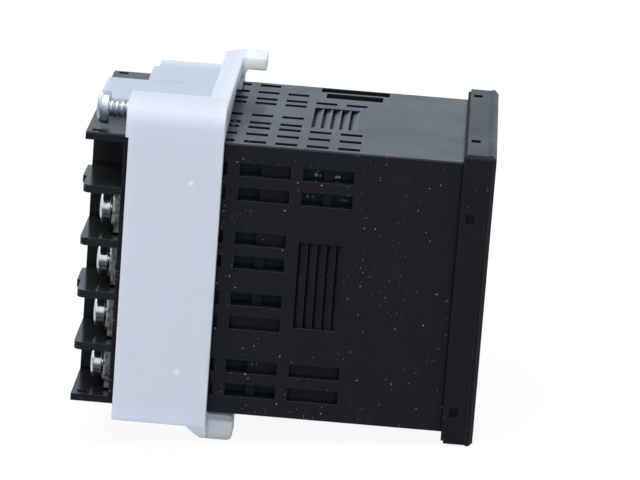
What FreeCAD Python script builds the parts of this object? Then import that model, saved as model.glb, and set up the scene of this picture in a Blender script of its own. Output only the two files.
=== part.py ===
"""Panel-mount temperature controller, 48 x 48 mm front, with its sliding mounting bracket.

Frame: +X to the right seen from the front, +Y from the front panel towards the terminals, +Z up.
The origin is on the body's axis, in the plane where the gasket meets the panel. Millimetres.
"""
import FreeCAD, Part
import math
import os

from FreeCAD import Vector

# ---------------------------------------------------------------- driving dimensions
BODY_WIDTH = 44.8
BODY_DEPTH = 60.1
CASE_WALL = 2.0
CASE_CORNER_RADIUS = 0.3
FIT_CLEARANCE = 0.1
SLIDE_CLEARANCE = 0.06

GASKET_THICKNESS = 0.4
GASKET_INSET = 0.45
GASKET_INNER_CLEARANCE = 0.1

BEZEL_OVERHANG = 1.6
BEZEL_FRAME_DEPTH = 3.5
BEZEL_CORNER_RADIUS = 0.7
BEZEL_OPENING_INSET = 5.5
SKIRT_DEPTH = 5.0
SKIRT_WALL = 1.2
COVER_DEPTH = 1.2
COVER_OVERHANG = 0.1
COVER_EDGE_CHAMFER = 0.6
LATCH_NOTCH_LENGTH = 1.8
LATCH_NOTCH_WIDTH = 1.5
LATCH_NOTCH_DEPTH = 0.8
LATCH_NOTCH_SETBACK = 0.5
LATCH_NOTCHES_TOP = (18.4, -14.0)
LATCH_NOTCHES_SIDE = (13.6, -18.6)

WINDOW_WIDTH = 34.0
WINDOW_HEIGHT = 22.0
WINDOW_CENTRE_DROP = 16.2
WINDOW_THICKNESS = 0.8
WINDOW_LEDGE = 1.0
DISPLAY_DEPTH = 4.0
DISPLAY_MARGIN = 0.6
KEY_ROW_INSET = 2.3
KEY_GAP = 2.0
KEY_HEIGHT = 5.2
KEY_CENTRE_RISE = 9.0
KEY_CORNER_RADIUS = 0.9
KEY_SINK = 0.1
KEY_FLANGE = 0.55
KEY_FLANGE_DEPTH = 0.7
KEY_STEM_WIDTH = 2.4
KEY_TRAVEL = 0.35
KEY_NAMES = ("key_menu", "key_shift", "key_down", "key_up")
SWITCH_WIDTH = 4.6
SWITCH_DEPTH = 1.6
PLUNGER_WIDTH = 1.8
PLUNGER_DEPTH = 0.5

BOARD_THICKNESS = 1.2
FRONT_BOARD_THICKNESS = 1.6
FRONT_BOARD_Y = 1.0
SIDE_BOARD_GAP = 1.35
SIDE_BOARD_FRONT_GAP = 3.0
RAIL_WIDTH = 1.0
RAIL_HEIGHT = 1.0
HEADER_DEPTH = 4.4
HEADER_WIDTH = 2.4
HEADER_HEIGHT = 22.0

EAR_COUNT = 6
EAR_THICKNESS = 1.25
EAR_CORNER_RADIUS = 1.2
EAR_TAB_LENGTH = 0.6
EAR_TAB_START = 6.0
EAR_TAB_WIDTH = 7.0
SIDE_WALL_STOP = 6.1
DIVIDER_X = 8.0
DIVIDER_THICKNESS = 0.9
BLOCK_FLOOR_THICKNESS = 4.6
BLOCK_SKIRT_DEPTH = 2.4
BLOCK_SKIRT_WALL = 1.4
PAD_HEIGHT = 0.3
PAD_WIDTH = 1.4
PLATE_THICKNESS = 0.8
PLATE_WIDTH = 7.2
PLATE_EDGE_GAP = 0.35
LEG_WIDTH = 1.8
LEG_THICKNESS = 0.8
LEG_REACH = 1.0
WASHER_WIDTH = 5.8
WASHER_THICKNESS = 0.7
TERMINAL_HEAD_RADIUS = 2.85
TERMINAL_HEAD_DEPTH = 1.9
TERMINAL_THREAD_RADIUS = 1.5
TERMINAL_THREAD_LENGTH = 6.0
HEAD_SIDES = 12
SHANK_SIDES = 8
CROWN_SHARE = 0.45
CROSS_LENGTH = 3.2
CROSS_WIDTH = 0.6
CROSS_DEPTH = 0.9
SCREW_BORE_CLEARANCE = 0.15
THREAD_CLEARANCE = 0.05
BLANK_RECESS_WIDTH = 6.4
BLANK_RECESS_DEPTH = 2.6
CLIP_SLOT_LENGTH = 1.6
CLIP_SLOT_WIDTH = 1.3
CLIP_SLOT_INSET_X = 1.6
CLIP_SLOT_INSET_Y = 0.9

SIDE_VENT_LENGTH = 8.15
SIDE_VENT_HEIGHT = 2.2
SIDE_VENT_PITCH = 10.1
SIDE_VENT_FRONT_Y = 17.1
SIDE_VENT_INSETS = (4.1, 8.1, 15.4, 19.35)
SIDE_VENT_RECESS = 1.1
SIDE_VENT_BAR = 1.4
TOP_VENT_LENGTH = 3.5
TOP_VENT_WIDTH = 1.6
TOP_VENT_PITCH = 5.0
TOP_VENT_FRONT_Y = 16.6
TOP_VENT_INSETS = (2.35, 7.4, 12.1, 15.4)
TOP_VENT_MIDDLE_X = -1.7
TOP_VENT_COLUMNS = 6
RATCHET_TEETH = 5
RATCHET_PITCH = 1.5
RATCHET_DEPTH = 0.65
RATCHET_WIDTH = 14.2
RATCHET_FRONT_Y = 17.6
PORT_FRONT_Y = 13.2
PORT_LENGTH = 11.5
PORT_OUTER_WIDTH = 2.8
PORT_INNER_WIDTH = 3.4
PORT_INNER_INSET = 1.0
PORT_BAR = 0.9
PORT_CONTACT_THICKNESS = 0.5
PORT_CONTACT_WIDTH = 1.0
PORT_CONTACT_HEIGHT = 4.4

BRACKET_FRONT_Y = 38.0
BRACKET_DEPTH = 15.1
BRACKET_SIDE_WALL = 1.9
BRACKET_TOP_WALL = 2.2
BRACKET_CORNER_RADIUS = 1.0
RIM_HEIGHT = 3.4
RIM_DEPTH = 3.3
RIM_SLOPE_DROP = 0.7
RIM_HEEL = 0.6
RIM_CORNER_RADIUS = 5.9
RIM_NOSE_THICKNESS = 2.4
RIM_CUT_BACK = 0.75
LOWER_RIM_DEPTH = 0.45
LOWER_RIM_RAMP = 2.75
LOWER_RIM_CORNER_RADIUS = 7.0
LOWER_RIM_BLEND = 0.8
LUG_REACH = 3.9
LUG_EDGE_RADIUS = 0.9
UPPER_LUG_INSET = 2.6
UPPER_LUG_WIDTH = 6.8
UPPER_LUG_THICKNESS = 2.0
UPPER_LUG_CORNER_RADIUS = 1.8
GUSSET_REACH = 0.9
GUSSET_DROP = 1.7
LOWER_LUG_REACH = 4.15
LOWER_LUG_INSET = 5.8
LOWER_LUG_WIDTH = 4.6
LOWER_LUG_THICKNESS = 4.2
HOUSING_WIDTH = 10.4
HOUSING_HEIGHT = 5.6
HOUSING_OVERHANG = 0.5
HOUSING_OUTER_RADIUS = 3.2
HOUSING_INNER_RADIUS = 2.0
ARM_WIDTH = 14.4
ARM_SLIT = 0.5
ARM_ROOT_SETBACK = 6.1
REAR_STEP_DEPTH = 0.8
REAR_STEP_WIDTH = 6.4
ARM_THICKNESS = 1.3
TONGUE_LENGTH = 6.7
PAWL_TEETH = 3
CLAMP_SCREW_INSET = 6.4
CLAMP_SCREW_RISE = 3.1
CLAMP_THREAD_RADIUS = 1.5
CLAMP_SCREW_LENGTH = 18.0
CLAMP_SCREW_OUT = 3.3
CLAMP_HEAD_RADIUS = 2.65
CLAMP_HEAD_DEPTH = 2.0

PART_SPACING = 2.0
PROCESSOR_WIDTH = 10.0
PROCESSOR_HEIGHT = 1.4
PROCESSOR_SETBACK = 16.0
PIN_WIDTH = 0.4
PIN_LENGTH = 0.9
PIN_PITCH = 1.4
PIN_ROW_PITCH = 3.4
PIN_COUNT = 5
TRANSFORMER_WIDTH = 15.0
TRANSFORMER_HEIGHT = 16.0
TRANSFORMER_DEPTH = 13.0
RELAY_WIDTH = 7.2
RELAY_HEIGHT = 15.0
RELAY_DEPTH = 10.0
CAPACITOR_RADIUS = 5.0
CAPACITOR_LENGTH = 11.0

# ---------------------------------------------------------------- derived places
HALF = BODY_WIDTH / 2
BEZEL_WIDTH = BODY_WIDTH + 2 * BEZEL_OVERHANG
BEZEL_OPENING_WIDTH = BEZEL_WIDTH - 2 * BEZEL_OPENING_INSET
KEY_PITCH = (BEZEL_OPENING_WIDTH - 2 * KEY_ROW_INSET + KEY_GAP) / len(KEY_NAMES)
KEY_WIDTH = KEY_PITCH - KEY_GAP
KEY_CENTRE_Z = KEY_CENTRE_RISE - HALF
WINDOW_CENTRE_Z = HALF - WINDOW_CENTRE_DROP
INNER_HALF = HALF - CASE_WALL
SIDE_BOARD_X = INNER_HALF - SIDE_BOARD_GAP - BOARD_THICKNESS / 2
SIDE_VENT_ROWS = [HALF - inset for inset in SIDE_VENT_INSETS]
SIDE_VENT_ROWS += [inset - HALF for inset in reversed(SIDE_VENT_INSETS)]
TOP_VENT_ROWS = [HALF - inset for inset in TOP_VENT_INSETS] + [TOP_VENT_MIDDLE_X]
TOP_VENT_ROWS += [inset - HALF for inset in reversed(TOP_VENT_INSETS)]
CASE_FRONT_Y = -GASKET_THICKNESS
COVER_REAR_Y = CASE_FRONT_Y - BEZEL_FRAME_DEPTH
FRONT_Y = COVER_REAR_Y - COVER_DEPTH
REAR_Y = BODY_DEPTH
SIDE_END_Y = REAR_Y - SIDE_WALL_STOP
FLOOR_Y = SIDE_END_Y
BLOCK_FRONT_Y = FLOOR_Y - BLOCK_FLOOR_THICKNESS
LINK_BOARD_REAR_Y = BLOCK_FRONT_Y - BLOCK_SKIRT_DEPTH
LINK_BOARD_FRONT_Y = LINK_BOARD_REAR_Y - BOARD_THICKNESS
SIDE_BOARD_FRONT_Y = FRONT_BOARD_Y + FRONT_BOARD_THICKNESS + SIDE_BOARD_FRONT_GAP
PLATE_Y = FLOOR_Y + PAD_HEIGHT
WASHER_Y = PLATE_Y + PLATE_THICKNESS
HEAD_Y = WASHER_Y + WASHER_THICKNESS
EAR_PITCH = (BODY_WIDTH - EAR_THICKNESS) / (EAR_COUNT - 1)
BAY_HEIGHT = EAR_PITCH - EAR_THICKNESS
COLUMN_EDGE = DIVIDER_X + DIVIDER_THICKNESS / 2
SIDE_COLUMN_X = (HALF + COLUMN_EDGE) / 2
BRACKET_REAR_Y = BRACKET_FRONT_Y + BRACKET_DEPTH
SLEEVE = HALF + FIT_CLEARANCE
BRACKET_HALF_X = SLEEVE + BRACKET_SIDE_WALL
BRACKET_HALF_Z = SLEEVE + BRACKET_TOP_WALL
RIM_TOP = BRACKET_HALF_Z + RIM_HEIGHT
HOUSING_REAR_Y = BRACKET_REAR_Y + HOUSING_OVERHANG
CLAMP_HEAD_Y = HOUSING_REAR_Y + CLAMP_SCREW_OUT
CLAMP_SCREW_X = BRACKET_HALF_X - CLAMP_SCREW_INSET
CLAMP_SCREW_Z = SLEEVE + CLAMP_SCREW_RISE

AXIS_Y = Vector(0, 1, 0)
ORIGIN = Vector(0, 0, 0)


# ---------------------------------------------------------------- helpers
def block(x_low, x_high, y_low, y_high, z_low, z_high):
    corner = Vector(x_low, y_low, z_low)
    return Part.makeBox(x_high - x_low, y_high - y_low, z_high - z_low, corner)


def rounded_prism(x_low, x_high, z_low, z_high, y_low, y_high, radius):
    """A bar along Y whose four long edges are rounded."""
    bar = block(x_low, x_high, y_low, y_high, z_low, z_high)
    edges = [e for e in bar.Edges if abs(e.Vertexes[0].Y - e.Vertexes[1].Y) > 1e-6]
    return bar.makeFillet(radius, edges)


def square_prism(half_x, half_z, y_low, y_high, radius):
    return rounded_prism(-half_x, half_x, -half_z, half_z, y_low, y_high, radius)


def cylinder_y(radius, y_low, y_high, x, z):
    return Part.makeCylinder(radius, y_high - y_low, Vector(x, y_low, z), AXIS_Y)


def polygon_y(radius, sides, y, x, z):
    """A regular polygon round (x, z), with its flats at radius."""
    reach = radius / math.cos(math.pi / sides)
    points = []
    for corner in range(sides + 1):
        angle = math.pi * (2 * corner + 1) / sides
        points.append(Vector(x + reach * math.cos(angle), y, z + reach * math.sin(angle)))
    return Part.makePolygon(points)


def polygon_bar(radius, sides, y_low, y_high, x, z):
    face = Part.Face(polygon_y(radius, sides, y_low, x, z))
    return face.extrude(Vector(0, y_high - y_low, 0))


def extrude_along_x(points_yz, x_low, x_high):
    points = [Vector(x_low, y, z) for y, z in points_yz]
    face = Part.Face(Part.makePolygon(points + points[:1]))
    return face.extrude(Vector(x_high - x_low, 0, 0))


def edges_along_x(shape, tests):
    """Edges that run along X and whose y and z pass one of the tests."""
    found = []
    for edge in shape.Edges:
        start, end = edge.Vertexes[0].Point, edge.Vertexes[-1].Point
        along = abs(start.y - end.y) < 1e-6 and abs(start.z - end.z) < 1e-6
        if along and any(abs(start.y - y) < 1e-4 and abs(start.z - z) < 1e-4 for y, z in tests):
            found.append(edge)
    return found


def edges_along_y(shape, x, z):
    """Edges that run along Y through (x, z)."""
    found = []
    for edge in shape.Edges:
        start, end = edge.Vertexes[0].Point, edge.Vertexes[-1].Point
        if abs(start.y - end.y) > 1e-6 and abs(start.x - x) + abs(start.z - z) < 1e-4:
            found.append(edge)
    return found


def turned(shape, degrees):
    """A copy turned about the body's axis."""
    copy = shape.copy()
    copy.rotate(ORIGIN, AXIS_Y, degrees)
    return copy


def export(node, shape):
    shape.exportStep("parts/%s.step" % node)


# ---------------------------------------------------------------- case
def side_vents():
    """Cutters for the left side wall: recesses, and the cells in them that go right through."""
    cutters = []
    open_cells = {
        0: ("rear", "rear+front"), 1: ("rear", "rear+front"), 2: ("rear",), 3: ("rear+front",),
        4: ("rear+front",), 5: ("",), 6: ("rear", ""), 7: ("rear+front", ""),
    }
    cell = (SIDE_VENT_LENGTH - SIDE_VENT_BAR) / 2
    for row, z in enumerate(SIDE_VENT_ROWS):
        columns = open_cells[row]
        plan = list(reversed(columns)) if len(columns) == 2 else [None, columns[0]]
        plan.append("rear+front" if row in (0, 2, 3, 6) else "")
        for column, cells in enumerate(plan):
            if cells is None:
                continue
            y_low = SIDE_VENT_FRONT_Y + column * SIDE_VENT_PITCH
            y_high = y_low + SIDE_VENT_LENGTH
            z_low, z_high = z - SIDE_VENT_HEIGHT / 2, z + SIDE_VENT_HEIGHT / 2
            cutters.append(block(-HALF - 1, -HALF + SIDE_VENT_RECESS, y_low, y_high, z_low, z_high))
            if "front" in cells:
                cutters.append(block(-HALF - 1, -INNER_HALF + 0.5, y_low, y_low + cell, z_low, z_high))
            if "rear" in cells:
                cutters.append(block(-HALF - 1, -INNER_HALF + 0.5, y_high - cell, y_high, z_low, z_high))
    return cutters


def top_vents(rows, keep_port_clear):
    """Cutters for the slots in the top wall."""
    cutters = []
    for x in rows:
        over_ratchet = abs(x) < RATCHET_WIDTH / 2
        over_port = keep_port_clear and x > SIDE_BOARD_X - PORT_INNER_WIDTH - PORT_BAR
        for column in range(TOP_VENT_COLUMNS):
            y_low = TOP_VENT_FRONT_Y + column * TOP_VENT_PITCH
            ratchet_end = RATCHET_FRONT_Y + RATCHET_TEETH * RATCHET_PITCH
            if over_ratchet and y_low < ratchet_end:
                continue
            if over_port and y_low < PORT_FRONT_Y + PORT_LENGTH:
                continue
            if over_port and x > SIDE_BOARD_X and y_low < PORT_FRONT_Y + PORT_LENGTH + TOP_VENT_PITCH:
                continue
            cutters.append(block(x - TOP_VENT_WIDTH / 2, x + TOP_VENT_WIDTH / 2,
                                 y_low, y_low + TOP_VENT_LENGTH, INNER_HALF - 0.5, HALF + 1))
    return cutters


def ratchet():
    """Cutter for the sawtooth grooves of the top wall: each falls towards the rear."""
    teeth = []
    for tooth in range(RATCHET_TEETH):
        front = RATCHET_FRONT_Y + tooth * RATCHET_PITCH
        rear = front + RATCHET_PITCH
        profile = [(front, HALF), (front, HALF + 1), (rear, HALF + 1), (rear, HALF - RATCHET_DEPTH)]
        teeth.append(extrude_along_x(profile, -RATCHET_WIDTH / 2, RATCHET_WIDTH / 2))
    return teeth


def port_slots():
    """The two slots beside the service port's board edge."""
    inner_low = PORT_FRONT_Y + PORT_INNER_INSET
    inner_high = PORT_FRONT_Y + PORT_LENGTH - PORT_INNER_INSET
    bar_low = SIDE_BOARD_X - PORT_BAR / 2
    bar_high = SIDE_BOARD_X + PORT_BAR / 2
    return [
        block(bar_high, bar_high + PORT_OUTER_WIDTH, PORT_FRONT_Y, PORT_FRONT_Y + PORT_LENGTH,
              INNER_HALF - 0.5, HALF + 1),
        block(bar_low - PORT_INNER_WIDTH, bar_low, inner_low, inner_high, INNER_HALF - 0.5, HALF + 1),
    ]


def board_rails():
    """Ribs inside the top and bottom walls that hold the two side boards on edge."""
    rails = []
    rail_rear = LINK_BOARD_FRONT_Y - FIT_CLEARANCE
    for side in (-1, 1):
        for face in (-1, 1):
            centre = side * SIDE_BOARD_X + face * (BOARD_THICKNESS / 2 + RAIL_WIDTH / 2)
            for level in (-1, 1):
                z_root = level * INNER_HALF
                z_tip = level * (INNER_HALF - RAIL_HEIGHT)
                rails.append(block(centre - RAIL_WIDTH / 2, centre + RAIL_WIDTH / 2,
                                   SIDE_BOARD_FRONT_Y, rail_rear, min(z_root, z_tip), max(z_root, z_tip)))
    return rails


def make_case():
    shell = square_prism(HALF, HALF, CASE_FRONT_Y, REAR_Y, CASE_CORNER_RADIUS)
    shell = shell.cut(block(-INNER_HALF, INNER_HALF, CASE_FRONT_Y - 1, FLOOR_Y, -INNER_HALF, INNER_HALF))
    bay_half = HALF - EAR_THICKNESS
    shell = shell.cut(block(-HALF - 1, HALF + 1, FLOOR_Y, REAR_Y + 1, -bay_half, bay_half))
    shell = shell.fuse(board_rails()).removeSplitter()
    cutters = side_vents() + [turned(c, 180) for c in side_vents()]
    outer_rows = [x for x in TOP_VENT_ROWS if abs(x) > DIVIDER_X]
    cutters += top_vents(TOP_VENT_ROWS, True) + [turned(c, 180) for c in top_vents(outer_rows, False)]
    for quarter in range(4):
        cutters += [turned(tooth, 90 * quarter) for tooth in ratchet()]
    cutters += port_slots()
    slot_x = HALF - CLIP_SLOT_INSET_X
    slot_rear = REAR_Y - CLIP_SLOT_INSET_Y
    for x in (-slot_x, slot_x):
        cutters.append(block(x - CLIP_SLOT_WIDTH / 2, x + CLIP_SLOT_WIDTH / 2,
                             slot_rear - CLIP_SLOT_LENGTH, slot_rear, -HALF - 1, HALF + 1))
    shell = shell.cut(cutters)
    tips = [e for e in shell.Edges if abs(e.BoundBox.ZLength - EAR_THICKNESS) < 0.2
            and e.BoundBox.YMin > REAR_Y - 0.01 and abs(abs(e.BoundBox.XMin) - HALF) < 1.0]
    return shell, tips


# ---------------------------------------------------------------- terminals
def bay_centres():
    """(x, z, has_terminal) of every terminal bay."""
    bays = []
    for row in range(EAR_COUNT - 1):
        z = HALF - EAR_THICKNESS - BAY_HEIGHT / 2 - row * EAR_PITCH
        for x in (-SIDE_COLUMN_X, 0.0, SIDE_COLUMN_X):
            bays.append((x, z, not (row == 0 and x < 0)))
    return bays


def leg_place(x, z):
    """Centre of the leg that runs forward from a terminal plate, beside its screw."""
    inward = -1 if x > 0 else 1
    offset = PLATE_WIDTH / 2 - LEG_THICKNESS / 2
    return x + inward * offset, z


def make_terminal_block():
    half_in = INNER_HALF - FIT_CLEARANCE
    plug = square_prism(half_in, half_in, LINK_BOARD_REAR_Y, FLOOR_Y, CASE_CORNER_RADIUS)
    skirt_inner = half_in - BLOCK_SKIRT_WALL
    plug = plug.cut(block(-skirt_inner, skirt_inner, LINK_BOARD_REAR_Y - 1, BLOCK_FRONT_Y,
                          -skirt_inner, skirt_inner))
    bay_half = HALF - EAR_THICKNESS
    solids = []
    for side in (-1, 1):
        low = side * DIVIDER_X - DIVIDER_THICKNESS / 2
        solids.append(block(low, low + DIVIDER_THICKNESS, FLOOR_Y, REAR_Y, -bay_half, bay_half))
    for ear in range(1, EAR_COUNT - 1):
        z_top = HALF - ear * EAR_PITCH
        z_low = z_top - EAR_THICKNESS
        plate = block(-HALF, HALF, FLOOR_Y, REAR_Y, z_low, z_top)
        corners = [e for e in plate.Edges if e.BoundBox.ZLength > EAR_THICKNESS / 2
                   and e.BoundBox.YMin > REAR_Y - 0.01]
        solids.append(plate.makeFillet(EAR_CORNER_RADIUS, corners))
        if ear in (1, 3):
            tab_low = -HALF + EAR_TAB_START
            solids.append(block(tab_low, tab_low + EAR_TAB_WIDTH, REAR_Y - 1, REAR_Y + EAR_TAB_LENGTH,
                                z_low, z_top))
    for x, z, has_terminal in bay_centres():
        if not has_terminal:
            continue
        for level in (-1, 1):
            edge = z + level * BAY_HEIGHT / 2
            pad_low = min(edge, edge - level * PAD_WIDTH)
            solids.append(block(x - PLATE_WIDTH / 2, x + PLATE_WIDTH / 2, FLOOR_Y, PLATE_Y,
                                pad_low, pad_low + PAD_WIDTH))
    body = plug.fuse(solids).removeSplitter()
    cutters = []
    bore = TERMINAL_THREAD_RADIUS + SCREW_BORE_CLEARANCE
    tip_y = HEAD_Y - TERMINAL_THREAD_LENGTH - SCREW_BORE_CLEARANCE
    for x, z, has_terminal in bay_centres():
        if has_terminal:
            cutters.append(block(x - bore, x + bore, tip_y, REAR_Y, z - bore, z + bore))
            leg_x, leg_z = leg_place(x, z)
            half_t = LEG_THICKNESS / 2 + FIT_CLEARANCE
            half_w = LEG_WIDTH / 2 + FIT_CLEARANCE
            cutters.append(block(leg_x - half_t, leg_x + half_t, BLOCK_FRONT_Y - 1, PLATE_Y,
                                 leg_z - half_w, leg_z + half_w))
        else:
            arch = BLANK_RECESS_WIDTH / 2
            cutters.append(cylinder_y(arch, FLOOR_Y - BLANK_RECESS_DEPTH, REAR_Y, x, z))
            cutters.append(block(x - arch, x + arch, FLOOR_Y - BLANK_RECESS_DEPTH, REAR_Y,
                                 z - BAY_HEIGHT / 2, z))
    return body.cut(cutters)


def make_terminal_plates():
    plates = []
    half_height = BAY_HEIGHT / 2 - PLATE_EDGE_GAP
    for x, z, has_terminal in bay_centres():
        if not has_terminal:
            continue
        plate = block(x - PLATE_WIDTH / 2, x + PLATE_WIDTH / 2, PLATE_Y, WASHER_Y,
                      z - half_height, z + half_height)
        leg_x, leg_z = leg_place(x, z)
        leg = block(leg_x - LEG_THICKNESS / 2, leg_x + LEG_THICKNESS / 2,
                    LINK_BOARD_FRONT_Y - LEG_REACH, PLATE_Y + PLATE_THICKNESS / 2,
                    leg_z - LEG_WIDTH / 2, leg_z + LEG_WIDTH / 2)
        tapped = polygon_bar(TERMINAL_THREAD_RADIUS + THREAD_CLEARANCE, SHANK_SIDES, PLATE_Y - 1,
                             WASHER_Y + 1, x, z)
        plates.append(plate.fuse(leg).removeSplitter().cut(tapped))
    return Part.makeCompound(plates)


def make_terminal_washers():
    washers = []
    half = WASHER_WIDTH / 2
    for x, z, has_terminal in bay_centres():
        if has_terminal:
            washer = block(x - half, x + half, WASHER_Y, HEAD_Y, z - half, z + half)
            hole = polygon_bar(TERMINAL_THREAD_RADIUS + SCREW_BORE_CLEARANCE, SHANK_SIDES, WASHER_Y - 1,
                               HEAD_Y + 1, x, z)
            washers.append(washer.cut(hole))
    return Part.makeCompound(washers)


def pan_head_screw(head_radius, head_depth, thread_radius, thread_length, x, y_seat, z):
    """A cross-recess pan-head screw whose head sits at y_seat and whose thread runs forward."""
    crown = head_depth * CROWN_SHARE
    outline = [(0, 0), (head_radius, 0), (head_radius, head_depth - crown),
               (head_radius - crown, head_depth), (0, head_depth)]
    points = [Vector(x + r, y_seat + y, z) for r, y in outline]
    face = Part.Face(Part.makePolygon(points + points[:1]))
    head = face.revolve(Vector(x, y_seat, z), AXIS_Y, 360)
    half_length, half_width = CROSS_LENGTH / 2, CROSS_WIDTH / 2
    top = y_seat + head_depth
    cross = [
        block(x - half_length, x + half_length, top - CROSS_DEPTH, top + 1, z - half_width, z + half_width),
        block(x - half_width, x + half_width, top - CROSS_DEPTH, top + 1, z - half_length, z + half_length),
    ]
    thread = cylinder_y(thread_radius, y_seat - thread_length, y_seat + crown, x, z)
    return head.cut(cross).fuse(thread).removeSplitter()


def make_terminal_screws():
    """The same screw at every terminal, with few facets because there are many of them."""
    top_y = HEAD_Y + TERMINAL_HEAD_DEPTH
    screws = []
    for x, z, has_terminal in bay_centres():
        if not has_terminal:
            continue
        head = polygon_bar(TERMINAL_HEAD_RADIUS, HEAD_SIDES, HEAD_Y, top_y, x, z)
        rim = [e for e in head.Edges if e.BoundBox.YMin > top_y - 1e-4]
        head = head.makeChamfer(TERMINAL_HEAD_DEPTH * CROWN_SHARE, rim)
        shank = polygon_bar(TERMINAL_THREAD_RADIUS, SHANK_SIDES, HEAD_Y - TERMINAL_THREAD_LENGTH,
                            HEAD_Y, x, z)
        screws.append(head.fuse(shank).removeSplitter())
    return Part.makeCompound(screws)


# ---------------------------------------------------------------- front
def key_centres():
    first = -KEY_PITCH * (len(KEY_NAMES) - 1) / 2
    return [(name, first + KEY_PITCH * index) for index, name in enumerate(KEY_NAMES)]


def make_gasket():
    inner = HALF + GASKET_INNER_CLEARANCE
    outer = BEZEL_WIDTH / 2 - GASKET_INSET
    ring = square_prism(outer, outer, CASE_FRONT_Y, 0, BEZEL_CORNER_RADIUS - GASKET_INSET)
    return ring.cut(block(-inner, inner, CASE_FRONT_Y - 1, 1, -inner, inner))


def make_bezel_frame():
    half = BEZEL_WIDTH / 2
    ring = square_prism(half, half, COVER_REAR_Y, CASE_FRONT_Y, BEZEL_CORNER_RADIUS)
    skirt_half = INNER_HALF - FIT_CLEARANCE
    skirt_rear = CASE_FRONT_Y + SKIRT_DEPTH
    ring = ring.fuse(block(-skirt_half, skirt_half, CASE_FRONT_Y - 0.5, skirt_rear, -skirt_half, skirt_half))
    opening = BEZEL_OPENING_WIDTH / 2
    seat = skirt_half - SKIRT_WALL
    cutters = [
        block(-opening, opening, COVER_REAR_Y - 1, FRONT_BOARD_Y + 1, -opening, opening),
        block(-seat, seat, FRONT_BOARD_Y, skirt_rear + 1, -seat, seat),
    ]
    notch_rear = CASE_FRONT_Y - LATCH_NOTCH_SETBACK
    for x in LATCH_NOTCHES_TOP:
        for level in (-1, 1):
            z_low = level * half - LATCH_NOTCH_DEPTH
            cutters.append(block(x - LATCH_NOTCH_LENGTH / 2, x + LATCH_NOTCH_LENGTH / 2,
                                 notch_rear - LATCH_NOTCH_WIDTH, notch_rear,
                                 z_low, z_low + 2 * LATCH_NOTCH_DEPTH))
    for z in LATCH_NOTCHES_SIDE:
        for side in (-1, 1):
            x_low = side * half - LATCH_NOTCH_DEPTH
            cutters.append(block(x_low, x_low + 2 * LATCH_NOTCH_DEPTH,
                                 notch_rear - LATCH_NOTCH_WIDTH, notch_rear,
                                 z - LATCH_NOTCH_LENGTH / 2, z + LATCH_NOTCH_LENGTH / 2))
    return ring.removeSplitter().cut(cutters)


def make_front_cover():
    half = BEZEL_WIDTH / 2 + COVER_OVERHANG
    plate = square_prism(half, half, FRONT_Y, COVER_REAR_Y, BEZEL_CORNER_RADIUS)
    front_rim = [e for e in plate.Edges if e.BoundBox.YMax < FRONT_Y + 1e-4]
    plate = plate.makeChamfer(COVER_EDGE_CHAMFER, front_rim)
    window_low = WINDOW_CENTRE_Z - WINDOW_HEIGHT / 2
    window_high = WINDOW_CENTRE_Z + WINDOW_HEIGHT / 2
    recess = block(-WINDOW_WIDTH / 2, WINDOW_WIDTH / 2, FRONT_Y - 1, FRONT_Y + WINDOW_THICKNESS,
                   window_low, window_high)
    sight = block(-WINDOW_WIDTH / 2 + WINDOW_LEDGE, WINDOW_WIDTH / 2 - WINDOW_LEDGE,
                  FRONT_Y - 1, COVER_REAR_Y + 1, window_low + WINDOW_LEDGE, window_high - WINDOW_LEDGE)
    cutters = [recess, sight]
    half_w = KEY_WIDTH / 2 + SLIDE_CLEARANCE
    half_h = KEY_HEIGHT / 2 + SLIDE_CLEARANCE
    for _, x in key_centres():
        cutters.append(rounded_prism(x - half_w, x + half_w, KEY_CENTRE_Z - half_h, KEY_CENTRE_Z + half_h,
                                     FRONT_Y - 1, COVER_REAR_Y + 1, KEY_CORNER_RADIUS))
    return plate.cut(cutters)


def make_display_window():
    gap = SLIDE_CLEARANCE
    half_w, half_h = WINDOW_WIDTH / 2 - gap, WINDOW_HEIGHT / 2 - gap
    return block(-half_w, half_w, FRONT_Y, FRONT_Y + WINDOW_THICKNESS,
                 WINDOW_CENTRE_Z - half_h, WINDOW_CENTRE_Z + half_h)


def make_display_module():
    half_w = WINDOW_WIDTH / 2 - WINDOW_LEDGE - DISPLAY_MARGIN
    half_h = WINDOW_HEIGHT / 2 - WINDOW_LEDGE - DISPLAY_MARGIN
    return block(-half_w, half_w, FRONT_BOARD_Y - DISPLAY_DEPTH, FRONT_BOARD_Y,
                 WINDOW_CENTRE_Z - half_h, WINDOW_CENTRE_Z + half_h)


def make_display_board():
    half = INNER_HALF - FIT_CLEARANCE - SKIRT_WALL - FIT_CLEARANCE
    return block(-half, half, FRONT_BOARD_Y, FRONT_BOARD_Y + FRONT_BOARD_THICKNESS, -half, half)


def make_key(x):
    """A key cap with a retaining flange and a stem that ends just short of its switch."""
    front = FRONT_Y + KEY_SINK
    half_w, half_h = KEY_WIDTH / 2, KEY_HEIGHT / 2
    flange_y = COVER_REAR_Y + SLIDE_CLEARANCE
    cap = rounded_prism(x - half_w, x + half_w, KEY_CENTRE_Z - half_h, KEY_CENTRE_Z + half_h,
                        front, flange_y + KEY_FLANGE_DEPTH, KEY_CORNER_RADIUS)
    flange = block(x - half_w - KEY_FLANGE, x + half_w + KEY_FLANGE, flange_y, flange_y + KEY_FLANGE_DEPTH,
                   KEY_CENTRE_Z - half_h - KEY_FLANGE, KEY_CENTRE_Z + half_h + KEY_FLANGE)
    plunger_tip = FRONT_BOARD_Y - SWITCH_DEPTH - PLUNGER_DEPTH
    stem_end = plunger_tip - KEY_TRAVEL - SLIDE_CLEARANCE
    half_s = KEY_STEM_WIDTH / 2
    stem = block(x - half_s, x + half_s, flange_y, stem_end, KEY_CENTRE_Z - half_s, KEY_CENTRE_Z + half_s)
    return cap.fuse([flange, stem]).removeSplitter()


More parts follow.
